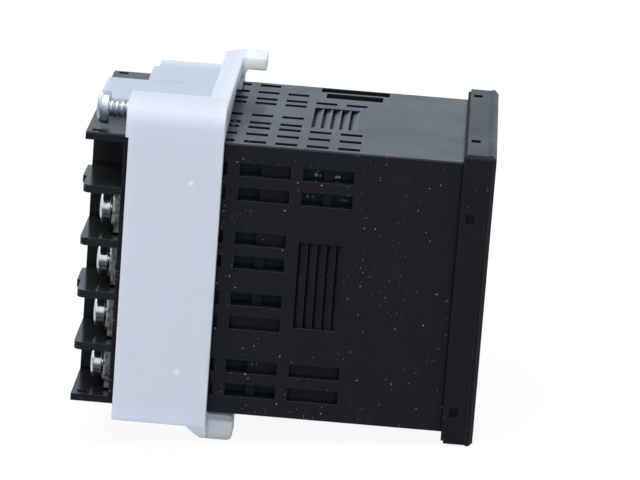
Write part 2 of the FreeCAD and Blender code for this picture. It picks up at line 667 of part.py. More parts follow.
def make_key_switches():
    switches = []
    half = SWITCH_WIDTH / 2
    front = FRONT_BOARD_Y - SWITCH_DEPTH
    for _, x in key_centres():
        body = block(x - half, x + half, front, FRONT_BOARD_Y, KEY_CENTRE_Z - half, KEY_CENTRE_Z + half)
        half_p = PLUNGER_WIDTH / 2
        plunger = block(x - half_p, x + half_p, front - PLUNGER_DEPTH, front,
                        KEY_CENTRE_Z - half_p, KEY_CENTRE_Z + half_p)
        switches.append(body.fuse(plunger).removeSplitter())
    return Part.makeCompound(switches)


# ---------------------------------------------------------------- electronics
def make_side_board(side):
    x = side * SIDE_BOARD_X
    return block(x - BOARD_THICKNESS / 2, x + BOARD_THICKNESS / 2,
                 SIDE_BOARD_FRONT_Y, LINK_BOARD_FRONT_Y, -INNER_HALF, INNER_HALF)


def make_link_board():
    half = INNER_HALF - FIT_CLEARANCE
    board = block(-half, half, LINK_BOARD_FRONT_Y, LINK_BOARD_REAR_Y, -half, half)
    cutters = []
    half_t = LEG_THICKNESS / 2 + FIT_CLEARANCE
    half_w = LEG_WIDTH / 2 + FIT_CLEARANCE
    for x, z, has_terminal in bay_centres():
        if has_terminal:
            leg_x, leg_z = leg_place(x, z)
            cutters.append(block(leg_x - half_t, leg_x + half_t, LINK_BOARD_FRONT_Y - 1,
                                 LINK_BOARD_REAR_Y + 1, leg_z - half_w, leg_z + half_w))
    return board.cut(cutters)


def make_board_headers():
    """Two connector bodies that join the front board to the side boards."""
    headers = []
    rear_of_front_board = FRONT_BOARD_Y + FRONT_BOARD_THICKNESS
    for side in (-1, 1):
        inner_face = side * (SIDE_BOARD_X - BOARD_THICKNESS / 2)
        far = inner_face - side * HEADER_WIDTH
        headers.append(block(min(inner_face, far), max(inner_face, far), rear_of_front_board,
                             rear_of_front_board + HEADER_DEPTH + SIDE_BOARD_FRONT_GAP,
                             -HEADER_HEIGHT / 2, HEADER_HEIGHT / 2))
    return Part.makeCompound(headers)


def make_transformer():
    """Ferrite core halves round a bobbin, standing on the right board."""
    face = SIDE_BOARD_X - BOARD_THICKNESS / 2
    y_low = SIDE_BOARD_FRONT_Y + HEADER_DEPTH + PART_SPACING
    core = block(face - TRANSFORMER_WIDTH, face, y_low, y_low + TRANSFORMER_DEPTH,
                 -TRANSFORMER_HEIGHT, 0)
    bobbin_gap = TRANSFORMER_DEPTH * 0.18
    window = block(face - TRANSFORMER_WIDTH * 0.8, face - TRANSFORMER_WIDTH * 0.2,
                   y_low - 1, y_low + bobbin_gap, -TRANSFORMER_HEIGHT * 0.8, -TRANSFORMER_HEIGHT * 0.2)
    return core.cut(window)


def relay_front_y():
    return SIDE_BOARD_FRONT_Y + HEADER_DEPTH + TRANSFORMER_DEPTH + 2 * PART_SPACING


def make_relays():
    face = SIDE_BOARD_X - BOARD_THICKNESS / 2
    y_low = relay_front_y()
    relays = []
    for z_low in (-RELAY_HEIGHT - PART_SPACING / 2, PART_SPACING / 2):
        relays.append(block(face - RELAY_WIDTH, face, y_low, y_low + RELAY_DEPTH, z_low, z_low + RELAY_HEIGHT))
    return Part.makeCompound(relays)


def make_capacitor():
    """The smoothing can that stands out from the right board, above the transformer."""
    face = SIDE_BOARD_X - BOARD_THICKNESS / 2
    y_centre = SIDE_BOARD_FRONT_Y + HEADER_DEPTH + PART_SPACING + CAPACITOR_RADIUS
    return Part.makeCylinder(CAPACITOR_RADIUS, CAPACITOR_LENGTH,
                             Vector(face - CAPACITOR_LENGTH, y_centre, CAPACITOR_RADIUS + PART_SPACING / 2),
                             Vector(1, 0, 0))


def make_processor():
    """The flat processor package on the left board's inner face."""
    face = -SIDE_BOARD_X + BOARD_THICKNESS / 2
    half = PROCESSOR_WIDTH / 2
    y_centre = SIDE_BOARD_FRONT_Y + PROCESSOR_SETBACK
    return block(face, face + PROCESSOR_HEIGHT, y_centre - half, y_centre + half, -half, half)


def make_solder_pins():
    """Short pin ends that stand out of the left board's outer face, in two rows."""
    face = -SIDE_BOARD_X - BOARD_THICKNESS / 2
    pins = []
    for row in (0, 1):
        for index in range(PIN_COUNT):
            y = SIDE_VENT_FRONT_Y + PIN_PITCH * (index + 1)
            z = SIDE_VENT_ROWS[1] + row * PIN_ROW_PITCH
            half = PIN_WIDTH / 2
            pins.append(block(face - PIN_LENGTH, face, y - half, y + half, z - half, z + half))
    return Part.makeCompound(pins)


def make_port_contacts():
    """Two sprung contacts of the service port, on the right board's inner face."""
    face = SIDE_BOARD_X - BOARD_THICKNESS / 2
    contacts = []
    for share in (0.25, 0.75):
        y = PORT_FRONT_Y + PORT_LENGTH * share
        foot = INNER_HALF - PORT_CONTACT_HEIGHT
        upright = block(face - PORT_CONTACT_THICKNESS, face, y - PORT_CONTACT_WIDTH / 2,
                        y + PORT_CONTACT_WIDTH / 2, foot, INNER_HALF - RAIL_HEIGHT - SLIDE_CLEARANCE)
        contacts.append(upright)
    return Part.makeCompound(contacts)


# ---------------------------------------------------------------- mounting bracket
def make_upper_rim():
    """The wall across the top front: steep behind, its crest rising to the front, rounded at both ends."""
    front = BRACKET_FRONT_Y
    crest = front + RIM_DEPTH
    profile = [(front, SLEEVE), (front, RIM_TOP), (crest, RIM_TOP - RIM_SLOPE_DROP),
               (crest + RIM_HEEL, BRACKET_HALF_Z), (crest + RIM_HEEL, SLEEVE)]
    rim = extrude_along_x(profile, -BRACKET_HALF_X, BRACKET_HALF_X)
    return rim.common(square_prism(BRACKET_HALF_X, RIM_TOP, front, BRACKET_REAR_Y, RIM_CORNER_RADIUS))


def rim_cut_back():
    """Cutter for the wedge under the nose of the upper rim, deepest beside the upper lug."""
    x_deep = BRACKET_HALF_X - UPPER_LUG_INSET - UPPER_LUG_WIDTH
    front = BRACKET_FRONT_Y
    corners = [(-SLEEVE, front), (-SLEEVE, front - 1), (x_deep, front - 1), (x_deep, front + RIM_CUT_BACK)]
    outline = Part.makePolygon([Vector(x, y, SLEEVE - 1) for x, y in corners + corners[:1]])
    return Part.Face(outline).extrude(Vector(0, 0, RIM_TOP - RIM_NOSE_THICKNESS - SLEEVE + 1))


def make_lower_rim():
    """The wall across the bottom front, which runs out of the collar in a soft ramp."""
    front = BRACKET_FRONT_Y
    foot = front + LOWER_RIM_DEPTH
    ramp_end = foot + LOWER_RIM_RAMP
    profile = [(front, -SLEEVE), (front, -RIM_TOP), (foot, -RIM_TOP), (ramp_end, -BRACKET_HALF_Z),
               (ramp_end, -SLEEVE)]
    rim = extrude_along_x(profile, -BRACKET_HALF_X, BRACKET_HALF_X)
    rim = rim.makeFillet(LOWER_RIM_BLEND, edges_along_x(rim, [(foot, -RIM_TOP)]))
    return rim.common(square_prism(BRACKET_HALF_X, RIM_TOP, front, BRACKET_REAR_Y, LOWER_RIM_CORNER_RADIUS))


def make_upper_lug():
    """The foot at the upper right that reaches forward to the panel, with the gusset under it."""
    x_high = BRACKET_HALF_X - UPPER_LUG_INSET
    x_low = x_high - UPPER_LUG_WIDTH
    tip = BRACKET_FRONT_Y - LUG_REACH
    crest = BRACKET_FRONT_Y + RIM_DEPTH
    lug = block(x_low, x_high, tip, crest, RIM_TOP - UPPER_LUG_THICKNESS, RIM_TOP)
    corner = [e for e in lug.Edges if e.BoundBox.ZLength > 0.1 and e.BoundBox.YMax < tip + 1e-4
              and e.BoundBox.XMin > x_high - 1e-4]
    lug = lug.makeFillet(UPPER_LUG_CORNER_RADIUS, corner)
    underside = RIM_TOP - UPPER_LUG_THICKNESS
    web = [(BRACKET_FRONT_Y - GUSSET_REACH, underside + 1), (BRACKET_FRONT_Y - GUSSET_REACH, underside),
           (BRACKET_FRONT_Y, underside - GUSSET_DROP), (BRACKET_FRONT_Y + 1, underside - GUSSET_DROP),
           (BRACKET_FRONT_Y + 1, underside + 1)]
    gusset = extrude_along_x(web, x_low, x_high)
    slope = extrude_along_x([(BRACKET_FRONT_Y, RIM_TOP), (crest, RIM_TOP), (crest, RIM_TOP - RIM_SLOPE_DROP)],
                            x_low - 1, x_high + 1)
    return lug.cut(slope).fuse(gusset)


def make_lower_lug():
    """The thicker foot at the lower left, rounded at its free edges."""
    x_low = -BRACKET_HALF_X + LOWER_LUG_INSET
    tip = BRACKET_FRONT_Y - LOWER_LUG_REACH
    z_high = -RIM_TOP + LOWER_LUG_THICKNESS
    lug = block(x_low, x_low + LOWER_LUG_WIDTH, tip, BRACKET_FRONT_Y + 1, -RIM_TOP, z_high)
    return lug.makeFillet(LUG_EDGE_RADIUS, edges_along_x(lug, [(tip, -RIM_TOP), (tip, z_high)]))


def make_housing():
    """The raised corner that carries a clamp screw, at the upper left."""
    x_low = -BRACKET_HALF_X
    x_high = x_low + HOUSING_WIDTH
    top = SLEEVE + HOUSING_HEIGHT
    housing = block(x_low, x_high, BRACKET_FRONT_Y, HOUSING_REAR_Y, SLEEVE, top)
    for x, radius in ((x_low, HOUSING_OUTER_RADIUS), (x_high, HOUSING_INNER_RADIUS)):
        housing = housing.makeFillet(radius, edges_along_y(housing, x, top))
    return housing


def arm_and_slits():
    """The pawl arm over the top wall, and the cutter that frees it from the collar."""
    half = ARM_WIDTH / 2
    root = BRACKET_REAR_Y - ARM_ROOT_SETBACK
    freed = block(-half - ARM_SLIT, half + ARM_SLIT, root, BRACKET_REAR_Y + 1,
                  SLEEVE - 1, BRACKET_HALF_Z + 1)
    tongue_end = BRACKET_REAR_Y + TONGUE_LENGTH
    under = BRACKET_HALF_Z - ARM_THICKNESS
    arm = block(-half, half, root - 1, tongue_end, under, BRACKET_HALF_Z)
    arm = arm.makeFillet(ARM_THICKNESS / 3, edges_along_x(arm, [(tongue_end, BRACKET_HALF_Z)]))
    teeth = []
    last = BRACKET_REAR_Y - RATCHET_PITCH
    for tooth in range(PAWL_TEETH):
        rear = last - tooth * RATCHET_PITCH
        front = rear - RATCHET_PITCH
        teeth.append(extrude_along_x([(front, under), (rear, SLEEVE), (rear, under)], -half, half))
    return arm.fuse(teeth), freed


def make_bracket():
    collar = square_prism(BRACKET_HALF_X, BRACKET_HALF_Z, BRACKET_FRONT_Y, BRACKET_REAR_Y,
                          BRACKET_CORNER_RADIUS)
    arm, freed = arm_and_slits()
    collar = collar.cut([freed, turned(freed, 180)])
    step = block(BRACKET_HALF_X - REAR_STEP_WIDTH, BRACKET_HALF_X + 1, BRACKET_REAR_Y - REAR_STEP_DEPTH,
                 BRACKET_REAR_Y + 1, SLEEVE, BRACKET_HALF_Z + 1)
    collar = collar.cut(step)
    housing = make_housing()
    solids = [arm, turned(arm, 180), housing, turned(housing, 180), make_upper_rim(), make_lower_rim(),
              make_upper_lug(), make_lower_lug()]
    body = collar.fuse(solids)
    passage = block(-SLEEVE, SLEEVE, BRACKET_FRONT_Y - LUG_REACH - 1, HOUSING_REAR_Y + TONGUE_LENGTH,
                    -SLEEVE, SLEEVE)
    body = body.cut(passage)
    bore = cylinder_y(CLAMP_THREAD_RADIUS + SLIDE_CLEARANCE, BRACKET_FRONT_Y - 1, HOUSING_REAR_Y + 1,
                      -CLAMP_SCREW_X, CLAMP_SCREW_Z)
    return body.cut([bore, turned(bore, 180), rim_cut_back()]).removeSplitter()


def make_clamp_screw():
    """The screw of the upper left housing, backed out; the lower one is this turned half round."""
    return pan_head_screw(CLAMP_HEAD_RADIUS, CLAMP_HEAD_DEPTH, CLAMP_THREAD_RADIUS, CLAMP_SCREW_LENGTH,
                          -CLAMP_SCREW_X, CLAMP_HEAD_Y, CLAMP_SCREW_Z)


# ---------------------------------------------------------------- build
def main():
    os.makedirs("parts", exist_ok=True)
    case, tips = make_case()
    if tips:
        case = case.makeFillet(EAR_CORNER_RADIUS, tips)
    export("case", case)
    export("terminal_block", make_terminal_block())
    export("terminal_plates", make_terminal_plates())
    export("terminal_washers", make_terminal_washers())
    export("terminal_screws", make_terminal_screws())
    export("panel_gasket", make_gasket())
    export("bezel_frame", make_bezel_frame())
    export("front_cover", make_front_cover())
    export("display_window", make_display_window())
    export("display_module", make_display_module())
    export("display_board", make_display_board())
    for name, x in key_centres():
        export(name, make_key(x))
    export("key_switches", make_key_switches())
    export("main_board", make_side_board(-1))
    export("power_board", make_side_board(1))
    export("link_board", make_link_board())
    export("board_headers", make_board_headers())
    export("transformer", make_transformer())
    export("relays", make_relays())
    export("capacitor", make_capacitor())
    export("processor", make_processor())
    export("solder_pins", make_solder_pins())
    export("port_contacts", make_port_contacts())
    export("mounting_bracket", make_bracket())
    clamp_screw = make_clamp_screw()
    export("clamp_screw_upper", clamp_screw)
    export("clamp_screw_lower", turned(clamp_screw, 180))


main()
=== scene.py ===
"""A 1/16 DIN temperature controller with its panel bracket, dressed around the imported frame.

Sizes in this file are millimetres unless a name says otherwise; every mesh is written in metres.
X runs to the right of the front, Y from the panel towards the terminals and Z up.
"""

import math

import bmesh
import bpy
from mathutils import Matrix, Vector


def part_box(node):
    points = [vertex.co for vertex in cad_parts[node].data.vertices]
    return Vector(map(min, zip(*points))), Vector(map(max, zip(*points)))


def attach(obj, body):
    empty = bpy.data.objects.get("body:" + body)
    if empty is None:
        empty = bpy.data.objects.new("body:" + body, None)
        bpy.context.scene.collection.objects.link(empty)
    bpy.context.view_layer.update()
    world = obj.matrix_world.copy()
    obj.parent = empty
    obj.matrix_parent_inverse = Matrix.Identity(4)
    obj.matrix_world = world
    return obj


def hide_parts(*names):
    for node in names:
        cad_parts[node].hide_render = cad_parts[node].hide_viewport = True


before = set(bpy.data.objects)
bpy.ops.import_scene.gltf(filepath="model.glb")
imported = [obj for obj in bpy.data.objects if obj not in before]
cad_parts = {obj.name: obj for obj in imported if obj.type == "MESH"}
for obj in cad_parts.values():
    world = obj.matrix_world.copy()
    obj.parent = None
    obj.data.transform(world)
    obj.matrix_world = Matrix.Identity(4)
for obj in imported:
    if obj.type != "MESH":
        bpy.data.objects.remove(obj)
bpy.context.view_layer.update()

MM = 0.001
PER_METRE = 1000.0
MERGE_METRES = 1e-7
POLE_RADIUS = 1e-6
RIGHT_ANGLE = math.radians(90)
ROOT = "case_body"

# ---------------------------------------------------------------- sizes
EDGE_SOFTENING = 0.12
BRACKET_RIM_HEIGHT = 3.4

TERMINAL_COLUMNS = 3
TERMINAL_ROWS = 5
BLANK_BAY = 4
HEAD_RADIUS = 2.85
HEAD_DEPTH = 1.9
HEAD_RIM = 1.1
HEAD_CHAMFER = 0.12
HEAD_SQUARENESS = 0.5
HEAD_DOME_STEPS = 7
HEAD_SIDES = 40
HEAD_SPIN = math.pi
HEAD_SEED = 7
HEAD_SHARP_ANGLE = 30
NECK_RADIUS = 1.45
NECK_LENGTH = 0.3
CROSS_LENGTH = 3.2
CROSS_WIDTH = 0.7
CROSS_DEPTH = 1.1
CROSS_FLOOR_SHARE = 0.45
CROSS_WIDTH_TAPER = 0.25
CROSS_OVERCUT = 0.5

WASHER_WIDTH = 5.8
WASHER_THICKNESS = 0.5
WASHER_BORE_RADIUS = 1.65
WASHER_CORNER = 0.9
WASHER_CORNER_STEPS = 5
WASHER_RIM_SHARE = 0.72
WASHER_CROWN_SHARE = 0.9
WASHER_SPIN = 0.12
WASHER_SEED = 3
WASHER_SHARP_ANGLE = 20

CLAMP_HEAD_RADIUS = 2.65
CLAMP_HEAD_DEPTH = 2.0
CLAMP_HEAD_RIM = 0.8
CLAMP_HEAD_SIDES = 48
CLAMP_THREAD_RADIUS = 1.5
CLAMP_THREAD_DEPTH = 0.32
CLAMP_THREAD_PITCH = 0.9
CLAMP_THREAD_SIDES = 36
CLAMP_THREAD_STEEPNESS = 1.6
CLAMP_THREAD_OVERLAP = 0.05
CLAMP_THREAD_SHARP_ANGLE = 40
CLAMP_STEPS_PER_TURN = 10

LARGE_DIGIT_HEIGHT = 8.4
SMALL_DIGIT_HEIGHT = 5.8
DIGIT_SLANT = 0.12
DIGIT_WIDTH_SHARE = 0.52
DIGIT_PITCH_SHARE = 0.78
DIGIT_OFFSET_SHARE = 0.06
SEGMENT_SHARE = 0.13
DIGIT_RELIEF = 0.05
DIGIT_SEAT = 0.02

SYMBOL_RELIEF = 0.04
RING_OUTER = 1.25
RING_INNER = 0.85
RING_SIDES = 24
ARROW_REACH = 1.4

SOLDER_SIDES = 12
SOLDER_SHARP_ANGLE = 60
BOARD_MARGIN = 3
BOARD_PART_SEAT = 0.02
SMALLEST_COPY = 0.6


# ---------------------------------------------------------------- meshes
BOX_FACES = ((0, 1, 2, 3), (7, 6, 5, 4), (0, 1, 5, 4), (1, 2, 6, 5), (2, 3, 7, 6), (3, 0, 4, 7))


def node_box(node):
    """The CAD node's lowest and highest corners in millimetres."""
    low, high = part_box(node)
    return low / MM, high / MM


def centre_of(low, high):
    """The point half way between two corners."""
    return [(a + b) / 2 for a, b in zip(low, high)]


def new_object(name, mesh):
    made = bpy.data.objects.new(name, mesh)
    bpy.context.scene.collection.objects.link(made)
    return made


def mesh_from(name, points, faces):
    """A closed mesh from points in millimetres, its faces turned outwards."""
    mesh = bpy.data.meshes.new(name)
    mesh.from_pydata([Vector(p) * MM for p in points], [], faces)
    shape = bmesh.new()
    shape.from_mesh(mesh)
    bmesh.ops.remove_doubles(shape, verts=shape.verts, dist=MERGE_METRES)
    bmesh.ops.recalc_face_normals(shape, faces=shape.faces)
    shape.to_mesh(mesh)
    shape.free()
    return mesh


def joined(name, parts):
    """Several (points, faces) pairs as one mesh."""
    points = []
    faces = []
    for part_points, part_faces in parts:
        start = len(points)
        points += part_points
        faces += [tuple(start + i for i in face) for face in part_faces]
    return mesh_from(name, points, faces)


def smooth_by_angle(mesh, degrees):
    """Smooth shading with the edges above this angle kept sharp."""
    shape = bmesh.new()
    shape.from_mesh(mesh)
    for face in shape.faces:
        face.smooth = True
    for edge in shape.edges:
        edge.smooth = len(edge.link_faces) == 2 and edge.calc_face_angle(0) < math.radians(degrees)
    shape.to_mesh(mesh)
    shape.free()


def work_in(made):
    """Works the object's modifiers into its mesh."""
    bpy.context.view_layer.update()
    graph = bpy.context.evaluated_depsgraph_get()
    mesh = bpy.data.meshes.new_from_object(made.evaluated_get(graph), depsgraph=graph)
    made.modifiers.clear()
    made.data = mesh


def add_piece(name, mesh, material, body=ROOT, stands_for=()):
    """A finished piece that moves with a body and may take the place of CAD nodes."""
    made = mesh if isinstance(mesh, bpy.types.Object) else new_object(name, mesh)
    made.name = name
    if material is not None:
        made.data.materials.clear()
        made.data.materials.append(material)
    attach(made, body)
    if stands_for:
        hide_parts(*stands_for)


def band(first, second, sides):
    """The faces between two rings of points, given by the number each ring starts at."""
    faces = []
    for index in range(sides):
        after = (index + 1) % sides
        faces.append((first + index, first + after, second + after, second + index))
    return faces


def turned_profile(profile, sides):
    """A solid of revolution about the Y axis, from (radius, y) points between its two poles."""
    points = []
    faces = []
    starts = []
    for radius, y in profile:
        starts.append(len(points))
        if radius < POLE_RADIUS:
            points.append((0, y, 0))
            continue
        for index in range(sides):
            turn = 2 * math.pi * index / sides
            points.append((radius * math.cos(turn), y, radius * math.sin(turn)))
    last = len(starts) - 1
    for number, (first, second) in enumerate(zip(starts, starts[1:])):
        for one, next_one, next_two, two in band(first, second, sides):
            if number == 0:
                faces.append((first, two, next_two))
            elif number + 1 == last:
                faces.append((one, next_one, second))
            else:
                faces.append((one, next_one, next_two, two))
    return points, faces


def pan_head_profile(radius, depth, rim):
    """A short neck below the seat at y = 0, then a rim and a dome up to the crown."""
    profile = [(0, -NECK_LENGTH), (NECK_RADIUS, -NECK_LENGTH), (NECK_RADIUS, 0),
               (radius - HEAD_CHAMFER, 0), (radius, HEAD_CHAMFER), (radius, rim)]
    for step in range(1, HEAD_DOME_STEPS):
        turn = math.pi / 2 * step / HEAD_DOME_STEPS
        profile.append((radius * math.cos(turn) ** HEAD_SQUARENESS, rim + (depth - rim) * math.sin(turn)))
    return profile + [(0, depth)]


def prism(outline, y_low, y_high):
    """A straight solid along Y from an outline of (x, z) points."""
    count = len(outline)
    points = [(x, y_low, z) for x, z in outline] + [(x, y_high, z) for x, z in outline]
    ends = [tuple(range(count)), tuple(range(2 * count - 1, count - 1, -1))]
    return points, ends + band(0, count, count)


def cross_cutter(crown):
    """The tapered cross that a driver fits, open above the crown."""
    points = []
    faces = []
    for along_x in (True, False):
        start = len(points)
        for y, share in ((crown - CROSS_DEPTH, CROSS_FLOOR_SHARE), (crown + CROSS_OVERCUT, 1.0)):
            long_half = CROSS_LENGTH / 2 * share
            wide_half = CROSS_WIDTH / 2 * (1 - CROSS_WIDTH_TAPER + CROSS_WIDTH_TAPER * share)
            if not along_x:
                long_half, wide_half = wide_half, long_half
            points += [(-long_half, y, -wide_half), (long_half, y, -wide_half),
                       (long_half, y, wide_half), (-long_half, y, wide_half)]
        faces += [tuple(start + i for i in quad) for quad in BOX_FACES]
    return points, faces


def crossed_head(name, radius, depth, rim, sides):
    """A pan head with its cross cut in, seated on y = 0 and facing +Y."""
    head = new_object(name, mesh_from(name, *turned_profile(pan_head_profile(radius, depth, rim), sides)))
    cutter = new_object(name + "_cross", mesh_from(name, *cross_cutter(depth)))
    cut = head.modifiers.new("cross", "BOOLEAN")
    cut.operation = "DIFFERENCE"
    cut.solver = "EXACT"
    cut.use_self = True
    cut.object = cutter
    work_in(head)
    bpy.data.objects.remove(cutter)
    smooth_by_angle(head.data, HEAD_SHARP_ANGLE)
    return head


def rounded_square(half, radius):
    """The outline of a square with rounded corners, as (x, z) points."""
    outline = []
    for quarter in range(4):
        sign_x = 1 if quarter in (0, 3) else -1
        sign_z = 1 if quarter in (0, 1) else -1
        for step in range(WASHER_CORNER_STEPS + 1):
            turn = math.pi / 2 * (quarter + step / WASHER_CORNER_STEPS)
            outline.append((sign_x * (half - radius) + radius * math.cos(turn),
                            sign_z * (half - radius) + radius * math.sin(turn)))
    return outline


def square_washer():
    """A square clamping plate with rounded corners, a bore and a slightly crowned face."""
    outer = rounded_square(WASHER_WIDTH / 2, WASHER_CORNER)
    middle = [(x * WASHER_CROWN_SHARE, z * WASHER_CROWN_SHARE) for x, z in outer]
    inner = []
    for x, z in outer:
        length = math.hypot(x, z)
        inner.append((x / length * WASHER_BORE_RADIUS, z / length * WASHER_BORE_RADIUS))
    loops = ((outer, 0), (outer, WASHER_THICKNESS * WASHER_RIM_SHARE), (middle, WASHER_THICKNESS),
             (inner, WASHER_THICKNESS), (inner, 0))
    points = []
    faces = []
    for number, (loop, y) in enumerate(loops):
        points += [(x, y, z) for x, z in loop]
        faces += band(number * len(outer), (number + 1) % len(loops) * len(outer), len(outer))
    return points, faces


def threaded_rod(y_low, y_high, x, z):
    """A rod along Y whose skin rises and falls along one helix; both ends are closed."""
    sides = CLAMP_THREAD_SIDES
    rings = int((y_high - y_low) / CLAMP_THREAD_PITCH * CLAMP_STEPS_PER_TURN)
    points = []
    faces = []
    for ring in range(rings + 1):
        y = y_low + (y_high - y_low) * ring / rings
        for index in range(sides):
            turn = 2 * math.pi * index / sides
            phase = (y / CLAMP_THREAD_PITCH - index / sides) % 1
            rise = min(1.0, CLAMP_THREAD_STEEPNESS * (1 - abs(2 * phase - 1)))
            fade = min(1.0, (y - y_low) / CLAMP_THREAD_PITCH)
            reach = CLAMP_THREAD_RADIUS - CLAMP_THREAD_DEPTH * (1 - rise * fade)
            points.append((x + reach * math.cos(turn), y, z + reach * math.sin(turn)))
    for ring in range(rings):
        faces += band(ring * sides, (ring + 1) * sides, sides)
    faces.append(tuple(range(sides)))
    faces.append(tuple(range((rings + 1) * sides - 1, rings * sides - 1, -1)))
    return points, faces


# ---------------------------------------------------------------- node building
FLOAT = "NodeSocketFloat"
INT = "NodeSocketInt"
VECTOR = "NodeSocketVector"
GEOMETRY = "NodeSocketGeometry"
MATERIAL = "NodeSocketMaterial"


class Tree:
    """A node tree being built."""

    def __init__(self, tree):
        self.tree = tree
        self.nodes = tree.nodes

    def feed(self, node, inputs):
        """Sets a node's inputs, by name or number, to values or links outputs to them."""
        for key, value in inputs.items():
            target = node.inputs[key]
            if isinstance(value, bpy.types.NodeSocket):
                self.tree.links.new(value, target)
            elif target.type == "RGBA":
                target.default_value = (*value, 1)
            else:
                target.default_value = value

    def add(self, kind, inputs=None, **properties):
        """A new node with its properties set and its inputs fed."""
        made = self.nodes.new(kind)
        for name, value in properties.items():
            setattr(made, name, value)
        self.feed(made, inputs or {})
        return made

    def take(self, output, kind, inputs=None, **properties):
        """One output of a new node."""
        return self.add(kind, inputs, **properties).outputs[output]

    def maths(self, operation, *values, clamp=False):
        """The result of a Math node on numbers or outputs."""
        return self.take(0, "ShaderNodeMath", dict(enumerate(values)), operation=operation, use_clamp=clamp)

    def ramp(self, value, start, end, low=0.0, high=1.0, curve="LINEAR"):
        """Runs from low, where the value is at its start or less, to high at its end or more."""
        return self.take("Result", "ShaderNodeMapRange", {
            "Value": value, "From Min": start, "From Max": end, "To Min": low, "To Max": high,
        }, interpolation_type=curve)

    def spot(self):
        """Where a point lies in its own object, in metres."""
        return self.take("Object", "ShaderNodeTexCoord")

    def along(self, way):
        """How far a point lies along X, Y or Z of its own object, in millimetres."""
        return self.maths("MULTIPLY", self.take(way, "ShaderNodeSeparateXYZ", {"Vector": self.spot()}),
                          PER_METRE)

    def noise(self, scale, **more):
        """A noise value fixed to the object."""
        return self.take("Fac", "ShaderNodeTexNoise", {"Vector": self.spot(), "Scale": scale, **more})


class Group(Tree):
    """A node group being built, from (name, type, default, lowest) rows for its sockets."""

    def __init__(self, name, inputs, outputs, kind="ShaderNodeTree"):
        super().__init__(bpy.data.node_groups.new(name, kind))
        for direction, rows in (("INPUT", inputs), ("OUTPUT", outputs)):
            for label, socket_type, *limits in rows:
                made = self.tree.interface.new_socket(name=label, in_out=direction, socket_type=socket_type)
                for limit, value in zip(("default_value", "min_value"), limits):
                    setattr(made, limit, value)
        self.given = self.nodes.new("NodeGroupInput").outputs
        self.end = self.nodes.new("NodeGroupOutput")

    def give(self, **outputs):
        """The finished group, with its outputs fed."""
        self.feed(self.end, outputs)
        return self.tree


class Finish(Tree):
    """A material being built around its principled shader."""

    def __init__(self, name):
        self.material = bpy.data.materials.new(name)
        self.material.use_nodes = True
        super().__init__(self.material.node_tree)
        self.shader = self.nodes["Principled BSDF"]

    def place(self, group, **values):
        """The outputs of a group, its inputs given by name with underscores for spaces."""
        inputs = {name.replace("_", " "): value for name, value in values.items()}
        return self.add("ShaderNodeGroup", inputs, node_tree=group).outputs

    def bump(self, height, distance, strength=1.0, under=None):
        """The normal of a relief, laid over another normal if one is given."""
        inputs = {"Height": height, "Distance": distance * MM, "Strength": strength}
        if under is not None:
            inputs["Normal"] = under
        return self.take("Normal", "ShaderNodeBump", inputs)

    def layered(self, base, layers):
        """A base colour with (mask, colour) layers laid over it one after another."""
        for mask, colour in layers:
            base = self.take("Result", "ShaderNodeMix", {"Factor": mask, "A": base, "B": colour},
                             data_type="RGBA")
        return base

    def shade(self, inputs):
        """The material, with these inputs of its shader fed."""
        self.feed(self.shader, inputs)
        return self.material


# ---------------------------------------------------------------- shared effects
MASK = (("Mask", FLOAT),)
GLOSS_PATCH_SCALE = 90.0
GLOSS_GAIN = 4.0
RAGGED_SCALE = 6000.0
RAGGEDNESS = (0.0003, 0.0003, 0.0003)
DRIFT_SCALE = 70.0
DRIFT_SHARPNESS = 5.0
DRIFT_GAIN = 30.0
WEAR_PATCH_SCALE = 900.0
WEAR_GAIN = 8.0
HAIRLINE_TURN = (0.4, 0.3, 0.5)
HAIRLINE_STRETCH = (1.0, 0.06, 1.0)
HAIRLINE_FINENESS = 9000.0
HAIRLINE_WIDTH = 0.006
HAIRLINE_PATCH_SCALE = 140.0
HAIRLINE_PATCH_START = 0.56
GATE_FALLOFF = 1.3


def make_moulded_grain():
    """Spark-eroded mould texture: a fine height field and a broader change of gloss."""
    group = Group("moulded_grain", (
        ("Grain Size", FLOAT, 0.35, 0.01), ("Base Roughness", FLOAT, 0.45), ("Roughness Spread", FLOAT, 0.08),
    ), (("Height", FLOAT), ("Roughness", FLOAT)))
    given = group.given
    fine = group.noise(group.maths("DIVIDE", PER_METRE, given["Grain Size"]), Detail=3.0, Roughness=0.6)
    centred = group.maths("SUBTRACT", group.noise(GLOSS_PATCH_SCALE, Detail=4.0), 0.5)
    spread = group.maths("MULTIPLY", centred, given["Roughness Spread"])
    change = group.maths("MULTIPLY", spread, GLOSS_GAIN)
    return group.give(Height=fine, Roughness=group.maths("ADD", given["Base Roughness"], change, clamp=True))


